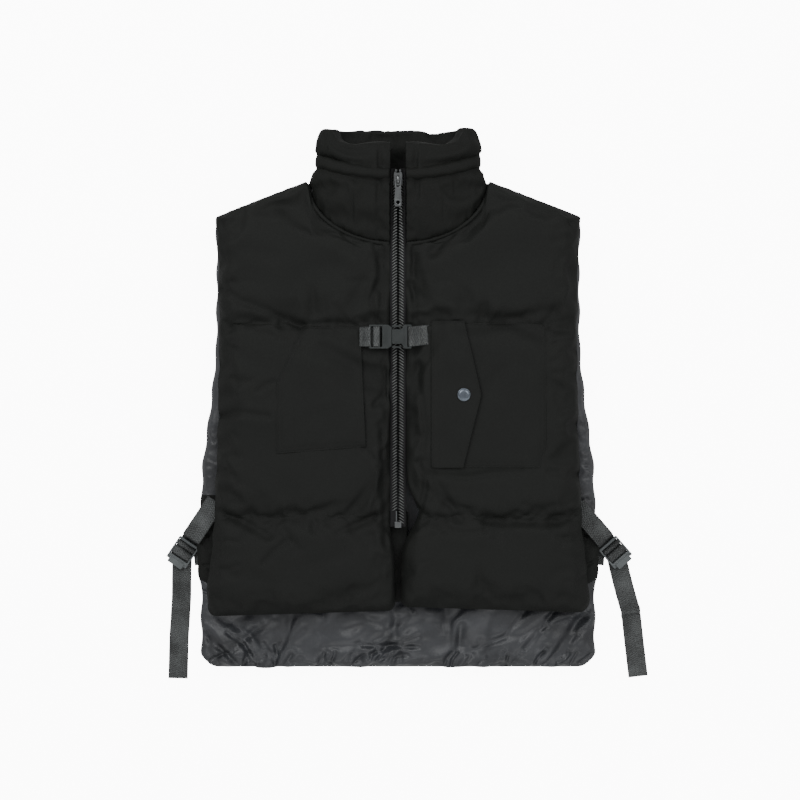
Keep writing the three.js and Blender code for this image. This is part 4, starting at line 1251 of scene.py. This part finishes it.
def buckle():
    low, high = span("buckle_socket")[0][2], span("buckle_socket")[1][2]
    plug_high = high - 0.6
    base = rounded([(-37.5, -RIM), (-13, -RIM), (-8, 3.6 - RIM), (-8, RIM - 3.6), (-13, RIM), (-37.5, RIM)], 1.6)
    slots = [box_loop(-34.8, -31.5, -SLOT_HALF, SLOT_HALF, 0.6), box_loop(-23.5, -20.7, -SLOT_HALF, SLOT_HALF, 0.6)]
    parts = [cut_plate([base, *slots], low, plug_high, 0.9)]
    parts += [bar(-19.4, -14.2, y - 0.55, y + 0.55, plug_high - 0.4, plug_high + 0.35, 0.3)
              for y in (-7.5, -5, -2.5, 0, 2.5, 5, 7.5)]
    middle = (low + high) / 2
    tongue = rounded([(-9, -6), (6, -6), (9, -4), (9, 4), (6, 6), (-9, 6)], 1.0)
    parts.append(cut_plate([tongue], middle - 0.9, middle + 0.9, 0.3))
    hard("buckle_plug_body", parts, PLASTIC, "vest", ["buckle_plug"], at_chest)

    for name, sign in (("upper", 1), ("lower", -1)):
        y0, y1 = 11.85, 14.9
        arm = [(-7.6, y0), (-3, y0 + 0.3), (1.2, y0 + 0.5), (3.4, y0 + 0.9), (4.25, 13.4), (4.2, 14.1),
               (2.2, y1 - 0.1), (-1.5, y1 - 0.25), (-4.6, y1), (-7.6, y1)]
        loop = [(x, sign * y) for x, y in rounded(arm, 0.7)]
        arm_parts = [cut_plate([loop], low + 0.8, high - 1.2, 0.45)]
        ribs = [[(x, y1 - 0.5), (x + 0.7, y1 - 0.5), (x + 0.7, y1 + 0.25), (x, y1 + 0.25)] for x in (-5.2, -3.6, -2.0)]
        arm_parts += [cut_plate([[(x, sign * y) for x, y in rib]], low + 1.4, high - 1.8, 0.12) for rib in ribs]
        hard(f"buckle_arm_{name}", arm_parts, PLASTIC, f"prong_{name}",
             [f"buckle_prong_{name}"], at_chest)

    waist = RIM - 6.1
    body = rounded([(-7.7, -waist), (4.9, -waist), (7.9, -RIM), (17.6, -RIM), (17.6, RIM), (7.9, RIM),
                    (4.9, waist), (-7.7, waist)], 1.5)
    slot = box_loop(12.2, 14.8, -SLOT_HALF, SLOT_HALF, 0.6)
    parts = [cut_plate([body, slot], high - 2.0, high, 0.7), cut_plate([body, slot], low, low + 2.0, 0.7)]
    cheek = [(9.8, -RIM + 0.9), (11.6, -RIM + 0.9), (11.6, RIM - 0.9), (9.8, RIM - 0.9)]
    parts.append(cut_plate([cheek], low + 1.2, high - 1.2, 0.2))
    for sign in (-1, 1):
        y0, y1 = sorted((sign * 7.2, sign * (waist - 0.3)))
        parts.append(bar(-7.2, 10.2, y0, y1, low + 1.2, high - 1.2, 0.2))
        y0, y1 = sorted((sign * (SLOT_HALF - 0.1), sign * (RIM - 0.3)))
        parts.append(bar(9.5, 17.3, y0, y1, low + 0.6, high - 0.6, 0.4))
    parts.append(bar(14.9, 17.5, -RIM + 0.8, RIM - 0.8, low + 1.3, high - 1.3, 0.8))
    frame_ring = [rounded([(-5.6, -waist + 1.8), (5.6, -waist + 1.8), (8.6, -waist - 1.5), (8.6, waist + 1.5),
                           (5.6, waist - 1.8), (-5.6, waist - 1.8)], 1.2)]
    inner = rounded([(-4.8, -waist + 2.6), (5.2, -waist + 2.6), (7.8, -waist - 0.6), (7.8, waist + 0.6),
                     (5.2, waist - 2.6), (-4.8, waist - 2.6)], 1.0)
    parts.append(cut_plate([frame_ring[0], inner], high - 0.5, high + 0.3, 0.2))
    hard("buckle_socket_body", parts, PLASTIC, "socket", ["buckle_socket"], at_chest)


buckle()


# ---------------------------------------------------------------- webbing
def smooth_path(points, count):
    """Points spread evenly along a soft curve through the given ones."""
    points = np.array(points, float)
    legs = np.concatenate([[0], np.cumsum(np.linalg.norm(np.diff(points, axis=0), axis=1))])
    fine = np.linspace(0, legs[-1], count * 4)
    line = np.stack([np.interp(fine, legs, points[:, k]) for k in range(points.shape[1])], -1)
    window = max(3, int(count * 4 * 1.6 / max(legs[-1], 1)) | 1)
    half = window // 2
    padded_line = np.vstack([np.repeat(line[:1], half, 0), line, np.repeat(line[-1:], half, 0)])
    kernel = np.ones(window) / window
    line = np.stack([np.convolve(padded_line[:, k], kernel, "valid") for k in range(line.shape[1])], -1)
    line[0], line[-1] = points[0], points[-1]
    legs = np.concatenate([[0], np.cumsum(np.linalg.norm(np.diff(line, axis=0), axis=1))])
    even = np.linspace(0, legs[-1], count)
    return np.stack([np.interp(even, legs, line[:, k]) for k in range(line.shape[1])], -1), legs[-1]


def strap(name, path, across, body, replaces, step=1.6):
    """Flat webbing along a path of 3-D points, with its width along across and woven edges."""
    length = float(np.linalg.norm(np.diff(np.array(path, float), axis=0), axis=1).sum())
    line, length = smooth_path(path, max(6, int(length / step)))
    across = np.array(across, float)
    if across.ndim == 1:
        across = np.repeat(across[None], len(line), 0)
    else:
        share = np.linspace(0, 1, len(across))
        across = np.stack([np.interp(np.linspace(0, 1, len(line)), share, across[:, k]) for k in range(3)], -1)
    forward = np.gradient(line, axis=0)
    forward /= np.linalg.norm(forward, axis=1, keepdims=True)
    across = across - (across * forward).sum(1, keepdims=True) * forward
    across /= np.linalg.norm(across, axis=1, keepdims=True)
    up = np.cross(across, forward)
    shape = [(-0.5, 0), (-0.485, 0.36), (-0.45, 0.5), (-0.3, 0.46), (-0.1, 0.5), (0.1, 0.46), (0.3, 0.5),
             (0.45, 0.46), (0.485, 0.36)]
    section = shape + [(0.5, 0)] + [(-s, -t) for s, t in shape[1:]]
    points, along_values, across_values = [], [], []
    reach = np.concatenate([[0], np.cumsum(np.linalg.norm(np.diff(line, axis=0), axis=1))])
    local = np.random.default_rng(len(name) * 7 + len(line))
    edge_wave = np.cumsum(local.normal(0, 0.05, len(line)))
    edge_wave = edge_wave - np.linspace(edge_wave[0], edge_wave[-1], len(line))
    for i, centre in enumerate(line):
        for s, t in section:
            wide = WEB_WIDTH * s + edge_wave[i] * 0.5
            points.append(centre + across[i] * wide + up[i] * t * WEB_THICK)
            along_values.append(reach[i])
            across_values.append(WEB_WIDTH * s)
    count = len(section)
    faces = grid_faces(len(line), count, wrap=True, flip=True)
    faces.append(list(range(count)))
    faces.append([(len(line) - 1) * count + j for j in range(count)][::-1])
    made = piece(name, points, faces, WEBBING, body, replaces)
    for label, values in (("along", along_values), ("across", across_values)):
        made.data.attributes.new(label, "FLOAT", "POINT").data.foreach_set("value", values)
    made.data.set_sharp_from_angle(angle=math.radians(50))
    return made, line, across, up


def cross_stitch(name, corner, along, across, up, length, width, body):
    """A box of stitching with a cross in it, where webbing is sewn down."""
    corner, along, across, up = (np.array(v, float) for v in (corner, along, across, up))
    points, faces = [], []
    a, b, c, d = (0, 0), (length, 0), (length, width), (0, width)
    for (s0, t0), (s1, t1) in ((a, b), (b, c), (c, d), (d, a), (a, c), (b, d)):
        run = math.hypot(s1 - s0, t1 - t0)
        for start in np.arange(0.2, run - 1.6, 2.5):
            base = len(points)
            for share, r in ((0.0, 0.08), (0.25, 0.28), (0.75, 0.28), (1.0, 0.08)):
                q = (start + 1.8 * share) / run
                centre = corner + along * (s0 + (s1 - s0) * q) + across * (t0 + (t1 - t0) * q)
                side = np.cross(up, along * (s1 - s0) + across * (t1 - t0))
                side /= np.linalg.norm(side)
                for j in range(4):
                    turn = math.pi / 2 * j
                    points.append(centre + side * math.cos(turn) * r + up * (math.sin(turn) * r + 0.12))
            faces += [[q + base for q in face] for face in grid_faces(4, 4, wrap=True)]
            faces += [[base, base + 1, base + 2, base + 3], [base + 15, base + 14, base + 13, base + 12]]
    return piece(name, points, faces, THREAD, body)


def loose_threads(name, end, forward, across, width, body, seed):
    """Short frayed yarns that stick out of a cut webbing end."""
    local = np.random.default_rng(seed)
    points, faces = [], []
    end, forward, across = (np.array(v, float) for v in (end, forward, across))
    for s in np.linspace(-0.48, 0.48, 46):
        reach = local.uniform(0.5, 2.6)
        lean = local.normal(0, 0.35)
        rise = local.uniform(-0.4, 0.6)
        base = len(points)
        for t, r in ((-0.8, 0.16), (0.3, 0.16), (0.7, 0.12), (1.0, 0.04)):
            centre = end + across * (width * s + lean * t) + forward * reach * t
            centre = centre + np.array([0, 0, rise * t])
            for j in range(4):
                a = math.pi / 2 * j
                points.append(centre + across * math.cos(a) * r + np.array([0, 0, math.sin(a) * r]))
        faces += [[q + base for q in face] for face in grid_faces(4, 4, wrap=True)]
        faces += [[base, base + 1, base + 2, base + 3], [base + 15, base + 14, base + 13, base + 12]]
    return piece(name, points, faces, WEBBING, body)


def chest_straps():
    """The two short straps sewn on the fronts and turned round the bars of the buckle."""
    low = span("buckle_plug")[0][2]
    high = span("buckle_socket")[1][2]
    ground_right = height(chest, -44, BUCKLE_Y)
    sides = [(-49.5, ground_right + 1.6), (-46.5, ground_right + 3.0), (-42, high - 3.4), (-38.6, high - 0.9),
             (-37.6, high + 0.3), (-36.4, high + 0.2), (-35.6, high - 1.4), (-35.2, low + 0.6),
             (-32.0, low + 0.6), (-31.6, high - 1.4), (-30.6, high + 0.2),
             (-28.5, high + 0.45), (-26.0, high + 0.4), (-24.6, high - 0.2), (-23.9, high - 1.6), (-23.6, low + 1.2),
             (-22.8, low - 0.9), (-26, low - 1.3), (-31, low - 1.5)]
    strap("chest_webbing_right", [(x, BUCKLE_Y, z) for x, z in sides], (0, 1, 0), "vest",
          ["chest_strap_right"], step=0.8)
    ground_left = height(chest, 36, BUCKLE_Y)
    sides = [(21, low - 1.0), (16.5, low - 0.9), (13.9, low + 0.2), (13.4, low + 2.5), (13.6, high - 1.6),
             (14.8, high - 0.1), (16.8, high + 0.2), (19.5, high - 0.4), (25, max(high - 4.0, ground_left + 2.6)),
             (31, ground_left + 2.9), (38.2, ground_left + 2.0)]
    lean = [(x, BUCKLE_Y + 0.11 * max(0, x - 17), z) for x, z in sides]
    made, line, *_ = strap("chest_webbing_left", lean, (-0.05, 1, 0), None, ["chest_strap_left"], step=1.0)
    start = line[-14]
    slope = (line[-2] - start) / np.linalg.norm(line[-2] - start)
    normal = np.array([-slope[2], 0, slope[0]])
    box_start = line[-13] + normal * 0.8 + np.array([0, -10.4, 0])
    stitched = cross_stitch("chest_strap_stitching", box_start, slope, (0, 1, 0), normal, 9.5, 20.8, None)
    stitched.data.materials[0] = BAR_TACK
    frayed = loose_threads("chest_strap_fray", line[-1], slope, (0, 1, 0), WEB_WIDTH, None, 4)
    anchor = tuple(float(c) * MM for c in (38.4, BUCKLE_Y, ground_left + 1))
    for part in (made, stitched, frayed):
        tuple(float(c) * MM for c in (20.5, BUCKLE_Y, ground_left + 1))
        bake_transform(part)


chest_straps()


# ---------------------------------------------------------------- side straps and ladder locks
LOCK_LOW, LOCK_HIGH = 2.4, 6.8
LOCK_HINGE = 13.7


def lock_frame(side):
    """The lock's own axes: middle, direction to the vest along the strap, and across it."""
    joint = JOINT[f"{side}_lock_tilt"]
    pivot = np.array(joint["pos_m"]) / MM
    across = np.array(joint["axis"], float)
    across = across / np.linalg.norm(across)
    if across[0] < 0:
        across = -across
    to_vest = np.array([-across[1], across[0], 0])
    centre = pivot - to_vest * LOCK_HINGE
    centre[2] = 0
    return centre, to_vest, across


def ladder_lock(side):
    """Plate with three slots, raised rails and top bar, a ridged grip bar and a lip to lift it by."""
    centre, to_vest, across = lock_frame(side)

    def put(points):
        return centre + points[:, :1] * across + points[:, 1:2] * to_vest + points[:, 2:] * np.array([0, 0, 1])

    low, high = LOCK_LOW, LOCK_HIGH
    outline = box_loop(-15.3, 15.3, -15, 15.1, 0.5)
    slots = [box_loop(-SLOT_HALF, SLOT_HALF, y0, y1, 0.7) for y0, y1 in ((11.5, 14.4), (3.2, 7.4), (-7.6, -3.6))]
    parts = [cut_plate([outline, *slots], low, high - 1.2, 0.8)]
    for x0, x1 in ((-15.3, -12.9), (12.9, 15.3)):
        parts.append(bar(x0, x1, -14.4, 17.6, high - 2.2, high, 0.7))
    parts.append(bar(-15.2, 15.2, 15.2, 18.2, high - 1.8, high + 0.5, 0.9))
    parts.append(bar(-14.6, 14.6, -11.4, -7.8, high - 2.4, high, 0.8))
    parts += [bar(-12.4 + 2.25 * i, -11.3 + 2.25 * i, -2.6, 1.6, high - 1.4, high - 0.7, 0.25) for i in range(12)]
    parts += [bar(-10, 10, y, y + 0.9, high - 0.3, high + 0.45, 0.3) for y in (-10.9, -9.4)]
    lip_points, lip_faces = cut_plate([box_loop(-11, 11, -4.6, 4.0, 1.6)], -0.9, 0.9, 0.5)
    tilt = math.radians(13)
    turned = lip_points.copy()
    turned[:, 1] = lip_points[:, 1] * math.cos(tilt) + lip_points[:, 2] * math.sin(tilt) - 14.6
    turned[:, 2] = -lip_points[:, 1] * math.sin(tilt) + lip_points[:, 2] * math.cos(tilt) + 6.2
    parts.append((turned, lip_faces))
    hard(f"{side}_lock_body", parts, LOCK_WITH_PAINTED_SHINE, f"{side}_lock", [f"{side}_ladder_lock"], put)
    return centre, to_vest, across


def side_straps(side, sign):
    """Webbing from the vest through the lock, the free tail on the floor and the strap from the back."""
    centre, to_vest, across = ladder_lock(side)

    def along(path):
        return [centre + to_vest * v + np.array([0, 0, z]) for v, z in path]

    wound = [(10.6, 1.9), (6.8, 1.95), (5.0, 2.5), (4.4, 4.6), (3.8, 6.2), (2.4, 6.75), (-1, 6.85), (-3.7, 6.75),
             (-4.9, 6.3), (-5.4, 5.0), (-5.8, 2.8), (-7.4, 1.95), (-14.4, 1.9)]
    strap(f"{side}_wound_webbing", along(wound), across, f"{side}_lock", [f"{side}_strap_wound"], step=0.9)

    upper = [(84, 33.0), (62, 32.6), (42, 31.2), (32, 30.2), (25.5, 27.6), (23.2, 15.0), (21.2, 5.4), (19.6, 2.2),
             (17.3, 1.3), (14.9, 1.3), (13.7, 1.8), (13.1, 3.6), (12.8, 5.4), (12.0, 7.0), (10.6, 7.55),
             (9.1, 7.5), (7.7, 6.9), (7.0, 5.4), (6.8, 3.2)]
    made, *_ = strap(f"{side}_front_webbing", along(upper), across, None, [f"{side}_side_strap_front"], step=1.3)
    start = centre + to_vest * 24
    end = centre + to_vest * 14
    start[2] = end[2] = 6
    tuple(start * MM)
    tuple(end * MM)
    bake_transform(made)

    if side == "right":
        reaches = [-8.5, 8, 22, 60, 110, 166]
        shift = [0, 0, 0, 0.8, -0.6, 0]
    else:
        reaches = [-8.5, 8, 22, 50, 74, 86, 100, 166]
        shift = [0, 0, 0.8, 2.8, 5.2, 5.4, 4.4, 0.6]
    slide = np.array(JOINT[f"{side}_tail_slide"]["axis"], float)
    slide = slide / np.linalg.norm(slide)
    if slide[1] > 0:
        slide = -slide
    wide = np.array([-slide[1], slide[0], 0])
    path = []
    for reach, off in zip(reaches, shift):
        spot = centre + slide * reach + wide * off
        spot[2] = 1.0
        path.append(spot)
    if side == "left":
        crest = path[4] * 0.55 + path[5] * 0.45
        path[5:5] = [crest + np.array([0, 3.4, 1.8]), crest + np.array([0, -0.4, 4.4]),
                     crest + np.array([0, -2.8, 4.0]), crest + np.array([0, -3.4, 0.2])]
    tail, *_ = strap(f"{side}_tail_webbing", path, wide, None, [f"{side}_strap_tail"], step=1.8)
    start, end = (centre + slide * reach for reach in (16, 46))
    start[2] = end[2] = 1.0
    tuple(start * MM)
    tuple(end * MM)
    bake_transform(tail)

    low, high = span(f"{side}_side_strap_back")
    x0, x1 = sorted((abs(low[0]), abs(high[0])))
    middle = (low[1] + high[1]) / 2
    run = [(sign * (x0 - 4), middle + 2, 1.4), (sign * x0, middle + 2, 1.1), (sign * (x0 + 6), middle + 1.5, 1.0),
           (sign * x1, middle + 0.6, 1.0)]
    strap(f"{side}_back_webbing", run, (0, 1, 0), "vest", [f"{side}_side_strap_back"], step=1.2)


side_straps("right", -1)
side_straps("left", 1)


# ---------------------------------------------------------------- zip
def zip_frame():
    """Turns points given across, along and out of the zip into the vest's own millimetres."""
    joint = JOINT["zip_slide"]
    up = -np.array(joint["axis"], float)
    up = up / np.linalg.norm(up)
    normal = np.array([0, -up[2], up[1]])
    start = np.array([0.0, -162.0, 48.0])

    def put(points):
        return start + points[:, :1] * np.array([1.0, 0, 0]) + points[:, 1:2] * up + points[:, 2:] * normal

    return put


on_zip = zip_frame()
ZIP_LENGTH = 457.0
TOOTH_PITCH = 3.8
TOOTH_SECTION = ((-1, -0.75), (-0.75, -1), (0.75, -1), (1, -0.75), (1, 0.75), (0.75, 1), (-0.75, 1), (-1, 0.75))


def zip_tape(side, sign):
    """Woven tape with a corded edge under the teeth and fine cross ribs."""
    edges = [2.6, 3.4, 4.4, 5.2, 6.4, 7.8, 9.2, 10.1]
    rise = [0.2, 0.75, 0.8, 0.35, 0.25, 0.25, 0.25, 0.1]
    rows = np.arange(-7.0, ZIP_LENGTH + 3, TOOTH_PITCH / 2)
    grid = []
    for i, s in enumerate(rows):
        ripple = 0.14 * (-1) ** i
        taper = 0.0 if s > 0 else (-s / 7.0) * 2.0
        for x, z in zip(edges, rise):
            grid.append([sign * (x + (taper if x < 6 else 0)), s, z + ripple])
    count = len(edges)
    under = [[p[0], p[1], p[2] - 0.8] for p in grid]
    faces = grid_faces(len(rows), count, flip=sign < 0)
    offset = len(grid)
    faces += grid_faces(len(rows), count, offset, flip=sign > 0)
    for j in range(count - 1):
        faces.append([j, offset + j, offset + j + 1, j + 1] if sign > 0 else [j, j + 1, offset + j + 1, offset + j])
        k = (len(rows) - 1) * count + j
        faces.append([k, k + 1, offset + k + 1, offset + k] if sign > 0 else [k, offset + k, offset + k + 1, k + 1])
    for i in range(len(rows) - 1):
        for j, way in ((0, 1), (count - 1, -1)):
            a, b = i * count + j, (i + 1) * count + j
            quad = [a, b, offset + b, offset + a]
            faces.append(quad if way * sign > 0 else quad[::-1])
    piece(f"{side}_zip_tape_cloth", on_zip(np.array(grid + under)), faces, TAPE,
          replaces=[f"zip_tape_{side}"])


def zip_teeth(side, sign):
    """Interlocking teeth: slanting lobes sewn to the tape, with heads that meet at the middle."""
    sections = [(7.6, 0.4, 0.5, -3.4), (6.8, 0.7, 1.0, -2.8), (4.9, 0.8, 1.7, -1.4), (3.2, 0.8, 1.9, -0.2),
                (2.2, 0.75, 1.7, 0.3), (1.4, 0.65, 1.3, 0.5), (0.8, 0.4, 0.8, 0.5)]
    start = 1.0 if side == "left" else 15.5 + TOOTH_PITCH / 2
    local = np.random.default_rng(5 if sign > 0 else 6)
    points, faces = [], []
    for s in np.arange(start, ZIP_LENGTH - 4.5, TOOTH_PITCH):
        base = len(points)
        lean = local.normal(0, 0.06)
        for x, half, tall, skew in sections:
            for t, q in TOOTH_SECTION:
                points.append([sign * x, s + skew + t * half + lean, 0.15 + q * tall])
        ring = grid_faces(len(sections), 8, wrap=True, flip=sign > 0)
        faces += [[v + base for v in face] for face in ring]
        cap = [base + j for j in range(8)]
        end = [base + 48 + j for j in range(8)]
        faces += [cap, end[::-1]] if sign > 0 else [cap[::-1], end]
    points = on_zip(np.array(points))
    teeth = piece(f"{side}_zip_teeth_row", points, faces, COIL, replaces=[f"zip_teeth_{side}"])
    teeth.data.set_sharp_from_angle(angle=math.radians(40))


def slider():
    """Slider with two waisted plates, side lips, a raised bridge and a long pull tab."""
    low, top = 435.7, 453.7
    plate_in, plate_out = 2.3, 3.7
    middle = low + 7
    shape = rounded([(-4.7, low), (4.7, low), (5.2, low + 6), (6.0, top - 4.5), (5.0, top), (0, top - 1.6),
                     (-5.0, top), (-6.0, top - 4.5), (-5.2, low + 6)], 1.4)
    parts = [cut_plate([shape], plate_in, plate_out, 0.5), cut_plate([shape], -plate_out, -plate_in, 0.5)]
    parts.append(bar(-0.9, 0.9, top - 5, top - 1.8, -plate_in - 0.2, plate_in + 0.2, 0.3))
    for sign in (-1, 1):
        x0, x1 = sorted((sign * 4.8, sign * 5.9))
        parts.append(bar(x0, x1, low + 0.6, top - 2.4, 0.9, plate_out - 0.3, 0.3))
        parts.append(bar(x0, x1, low + 0.6, top - 2.4, -plate_out + 0.3, -0.9, 0.3))
    arch = [(middle - 4.2, plate_out - 0.4), (middle - 4.0, 5.6), (middle - 2.9, 7.1), (middle - 1, 7.7),
            (middle + 2.4, 7.8), (middle + 4.6, 7.2), (middle + 6.0, 5.7), (middle + 6.6, plate_out - 0.4)]
    line, _ = smooth_path([(0, s, z) for s, z in arch], 18)
    forward = np.gradient(line, axis=0)
    forward /= np.linalg.norm(forward, axis=1, keepdims=True)
    upward = np.cross(np.array([1.0, 0, 0]), forward)
    tube = []
    for spot, out in zip(line, upward):
        for j in range(10):
            a = 2 * math.pi * j / 10
            tube.append(spot + np.array([1.5, 0, 0]) * math.cos(a) + out * 0.75 * math.sin(a))
    tube_faces = grid_faces(len(line), 10, wrap=True, flip=True)
    parts.append((np.array(tube), tube_faces))
    hard("slider_body", parts, TOOTH, "slider", ["zip_slider"], on_zip)

    pivot_z = plate_out + 1.4
    end = middle + 1 - 35
    tab = rounded([(-4.6, end), (4.6, end), (5.0, end + 8), (3.9, middle - 12), (4.4, middle - 6), (4.4, middle + 0.9),
                   (-4.4, middle + 0.9), (-4.4, middle - 6), (-3.9, middle - 12), (-5.0, end + 8)], 2.2)
    eye = box_loop(-2.5, 2.5, middle - 8.5, middle - 1.0, 1.2)
    hole = [(2.4 * math.cos(a), end + 5.4 + 2.4 * math.sin(a)) for a in np.linspace(0, 2 * math.pi, 17)[:-1]]
    parts = [cut_plate([tab, eye, hole], pivot_z - 0.75, pivot_z + 0.75, 0.4)]
    rim_out = [(4.0 * math.cos(a), end + 5.4 + 4.0 * math.sin(a)) for a in np.linspace(0, 2 * math.pi, 25)[:-1]]
    rim_in = [(2.9 * math.cos(a), end + 5.4 + 2.9 * math.sin(a)) for a in np.linspace(0, 2 * math.pi, 25)[:-1]]
    parts.append(cut_plate([rim_out, rim_in], pivot_z - 1.0, pivot_z + 1.05, 0.3))
    spine = rounded([(-1.6, end + 10.5), (1.6, end + 10.5), (1.2, middle - 11), (-1.2, middle - 11)], 0.8)
    parts.append(cut_plate([spine], pivot_z + 0.5, pivot_z + 1.05, 0.2))
    hard("pull_tab_body", parts, TOOTH, "pull_tab", ["zip_pull_tab"], on_zip)


def zip_end():
    """Retainer box and pin at the foot of the zip, and the folded stops at its head."""
    box_parts = [bar(-4.5, 4.5, -8, -0.2, 1.4, 2.9, 0.6), bar(-4.5, 4.5, -8, -0.2, -2.8, -1.4, 0.6),
                 bar(-4.5, -3.3, -8, -0.2, -1.7, 1.7, 0.3), bar(-0.9, 4.5, -8, -0.2, -1.7, 1.7, 0.3),
                 bar(-2.6, 2.6, -6.0, -5.1, 2.7, 3.2, 0.2), bar(-2.6, 2.6, -3.4, -2.5, 2.7, 3.2, 0.2)]
    hard("retainer_box_body", box_parts, TOOTH, "vest", ["zip_retainer_box"], on_zip)
    hard("insertion_pin_body", [bar(-3.0, -1.2, -7, 13.8, -0.9, 0.9, 0.4)], TOOTH, "vest",
         ["zip_insertion_pin"], on_zip)
    for side, sign in (("left", 1), ("right", -1)):
        x0, x1 = sorted((sign * 1.2, sign * 4.3))
        parts = [bar(x0, x1, ZIP_LENGTH - 3.6, ZIP_LENGTH, -2.4, 2.4, 0.6)]
        hard(f"{side}_top_stop_body", parts, TOOTH, "vest", [f"zip_top_stop_{side}"], on_zip)


def zip_guard_and_slit_shade():
    """A strip of shell cloth sewn behind the zip: a wind flap, and also painted shade that darkens the slit under the
    zip.
    """
    u, v = np.meshgrid(np.linspace(-1, 1, 13), np.linspace(0, 1, 60))
    x = (13.0 - 3.0 * (1 - v) ** 3) * u
    y = -268 + 118 * v
    level = 33.2 + 0.5 * bumps(x, y, 30, 17)
    edge = np.minimum(13.5 - np.abs(x), np.minimum(y + 268, -150 - y) + 0.2)
    points, faces, _, _ = pillow(x, y, level, 0.6 * dome(edge, 1.2), 0.5 * dome(edge, 1.2), x * 0)
    guard = piece("zip_guard_shade_strip", points, faces, SHELL)


zip_guard_and_slit_shade()
for side, sign in (("right", -1), ("left", 1)):
    zip_tape(side, sign)
    zip_teeth(side, sign)
slider()
zip_end()


# ---------------------------------------------------------------- floor, light, camera
def floor():
    """A pale sheet that glows evenly under the vest."""
    mesh = bpy.data.meshes.new("floor")
    mesh.from_pydata([(-6, -6, 0), (6, -6, 0), (6, 6, 0), (-6, 6, 0)], [], [(0, 1, 2, 3)])
    ground = bpy.data.objects.new("floor", mesh)
    bpy.context.scene.collection.objects.link(ground)
    paper = Finish("pale_paper", (250, 250, 250), 0.9, Specular_IOR_Level=0.1)
    where, _ = paper.place()
    paper.tint(paper.noise(where, 5.0, 2.0), 0.995, 1.0)
    paper.set("Emission Color", (1, 1, 1, 1))
    paper.set("Emission Strength", 10.0)
    mesh.materials.append(paper.material)
    ground.location.z = -0.0005
    ground.visible_diffuse = False
    ground.visible_glossy = False


def soft_light(name, place, size, power):
    """A wide soft lamp aimed at the middle of the vest."""
    lamp = bpy.data.lights.new(name, "AREA")
    lamp.shape = "RECTANGLE"
    lamp.size, lamp.size_y = size
    lamp.energy = power
    holder = bpy.data.objects.new(name, lamp)
    bpy.context.scene.collection.objects.link(holder)
    holder.location = place
    holder.rotation_euler = (-Vector(place)).to_track_quat("-Z", "Y").to_euler()


floor()
soft_light("top_left_box", (-1.1, 1.3, 1.9), (1.6, 1.2), 34)
soft_light("top_right_box", (1.4, 1.0, 2.0), (1.4, 1.4), 22)
soft_light("low_fill_box", (0.2, -1.9, 1.8), (2.2, 1.0), 16)
world = bpy.data.worlds.new("studio")
world.use_nodes = True
world.node_tree.nodes["Background"].inputs[0].default_value = (1, 1, 1, 1)
world.node_tree.nodes["Background"].inputs[1].default_value = 0.75
bpy.context.scene.world = world

eye = bpy.data.cameras.new("overhead")
eye.lens = 100
eye.clip_end = 30
camera = bpy.data.objects.new("overhead", eye)
bpy.context.scene.collection.objects.link(camera)
camera.location = (0.0026, -0.0039, 2.939)
bpy.context.scene.camera = camera

bpy.context.view_layer.update()
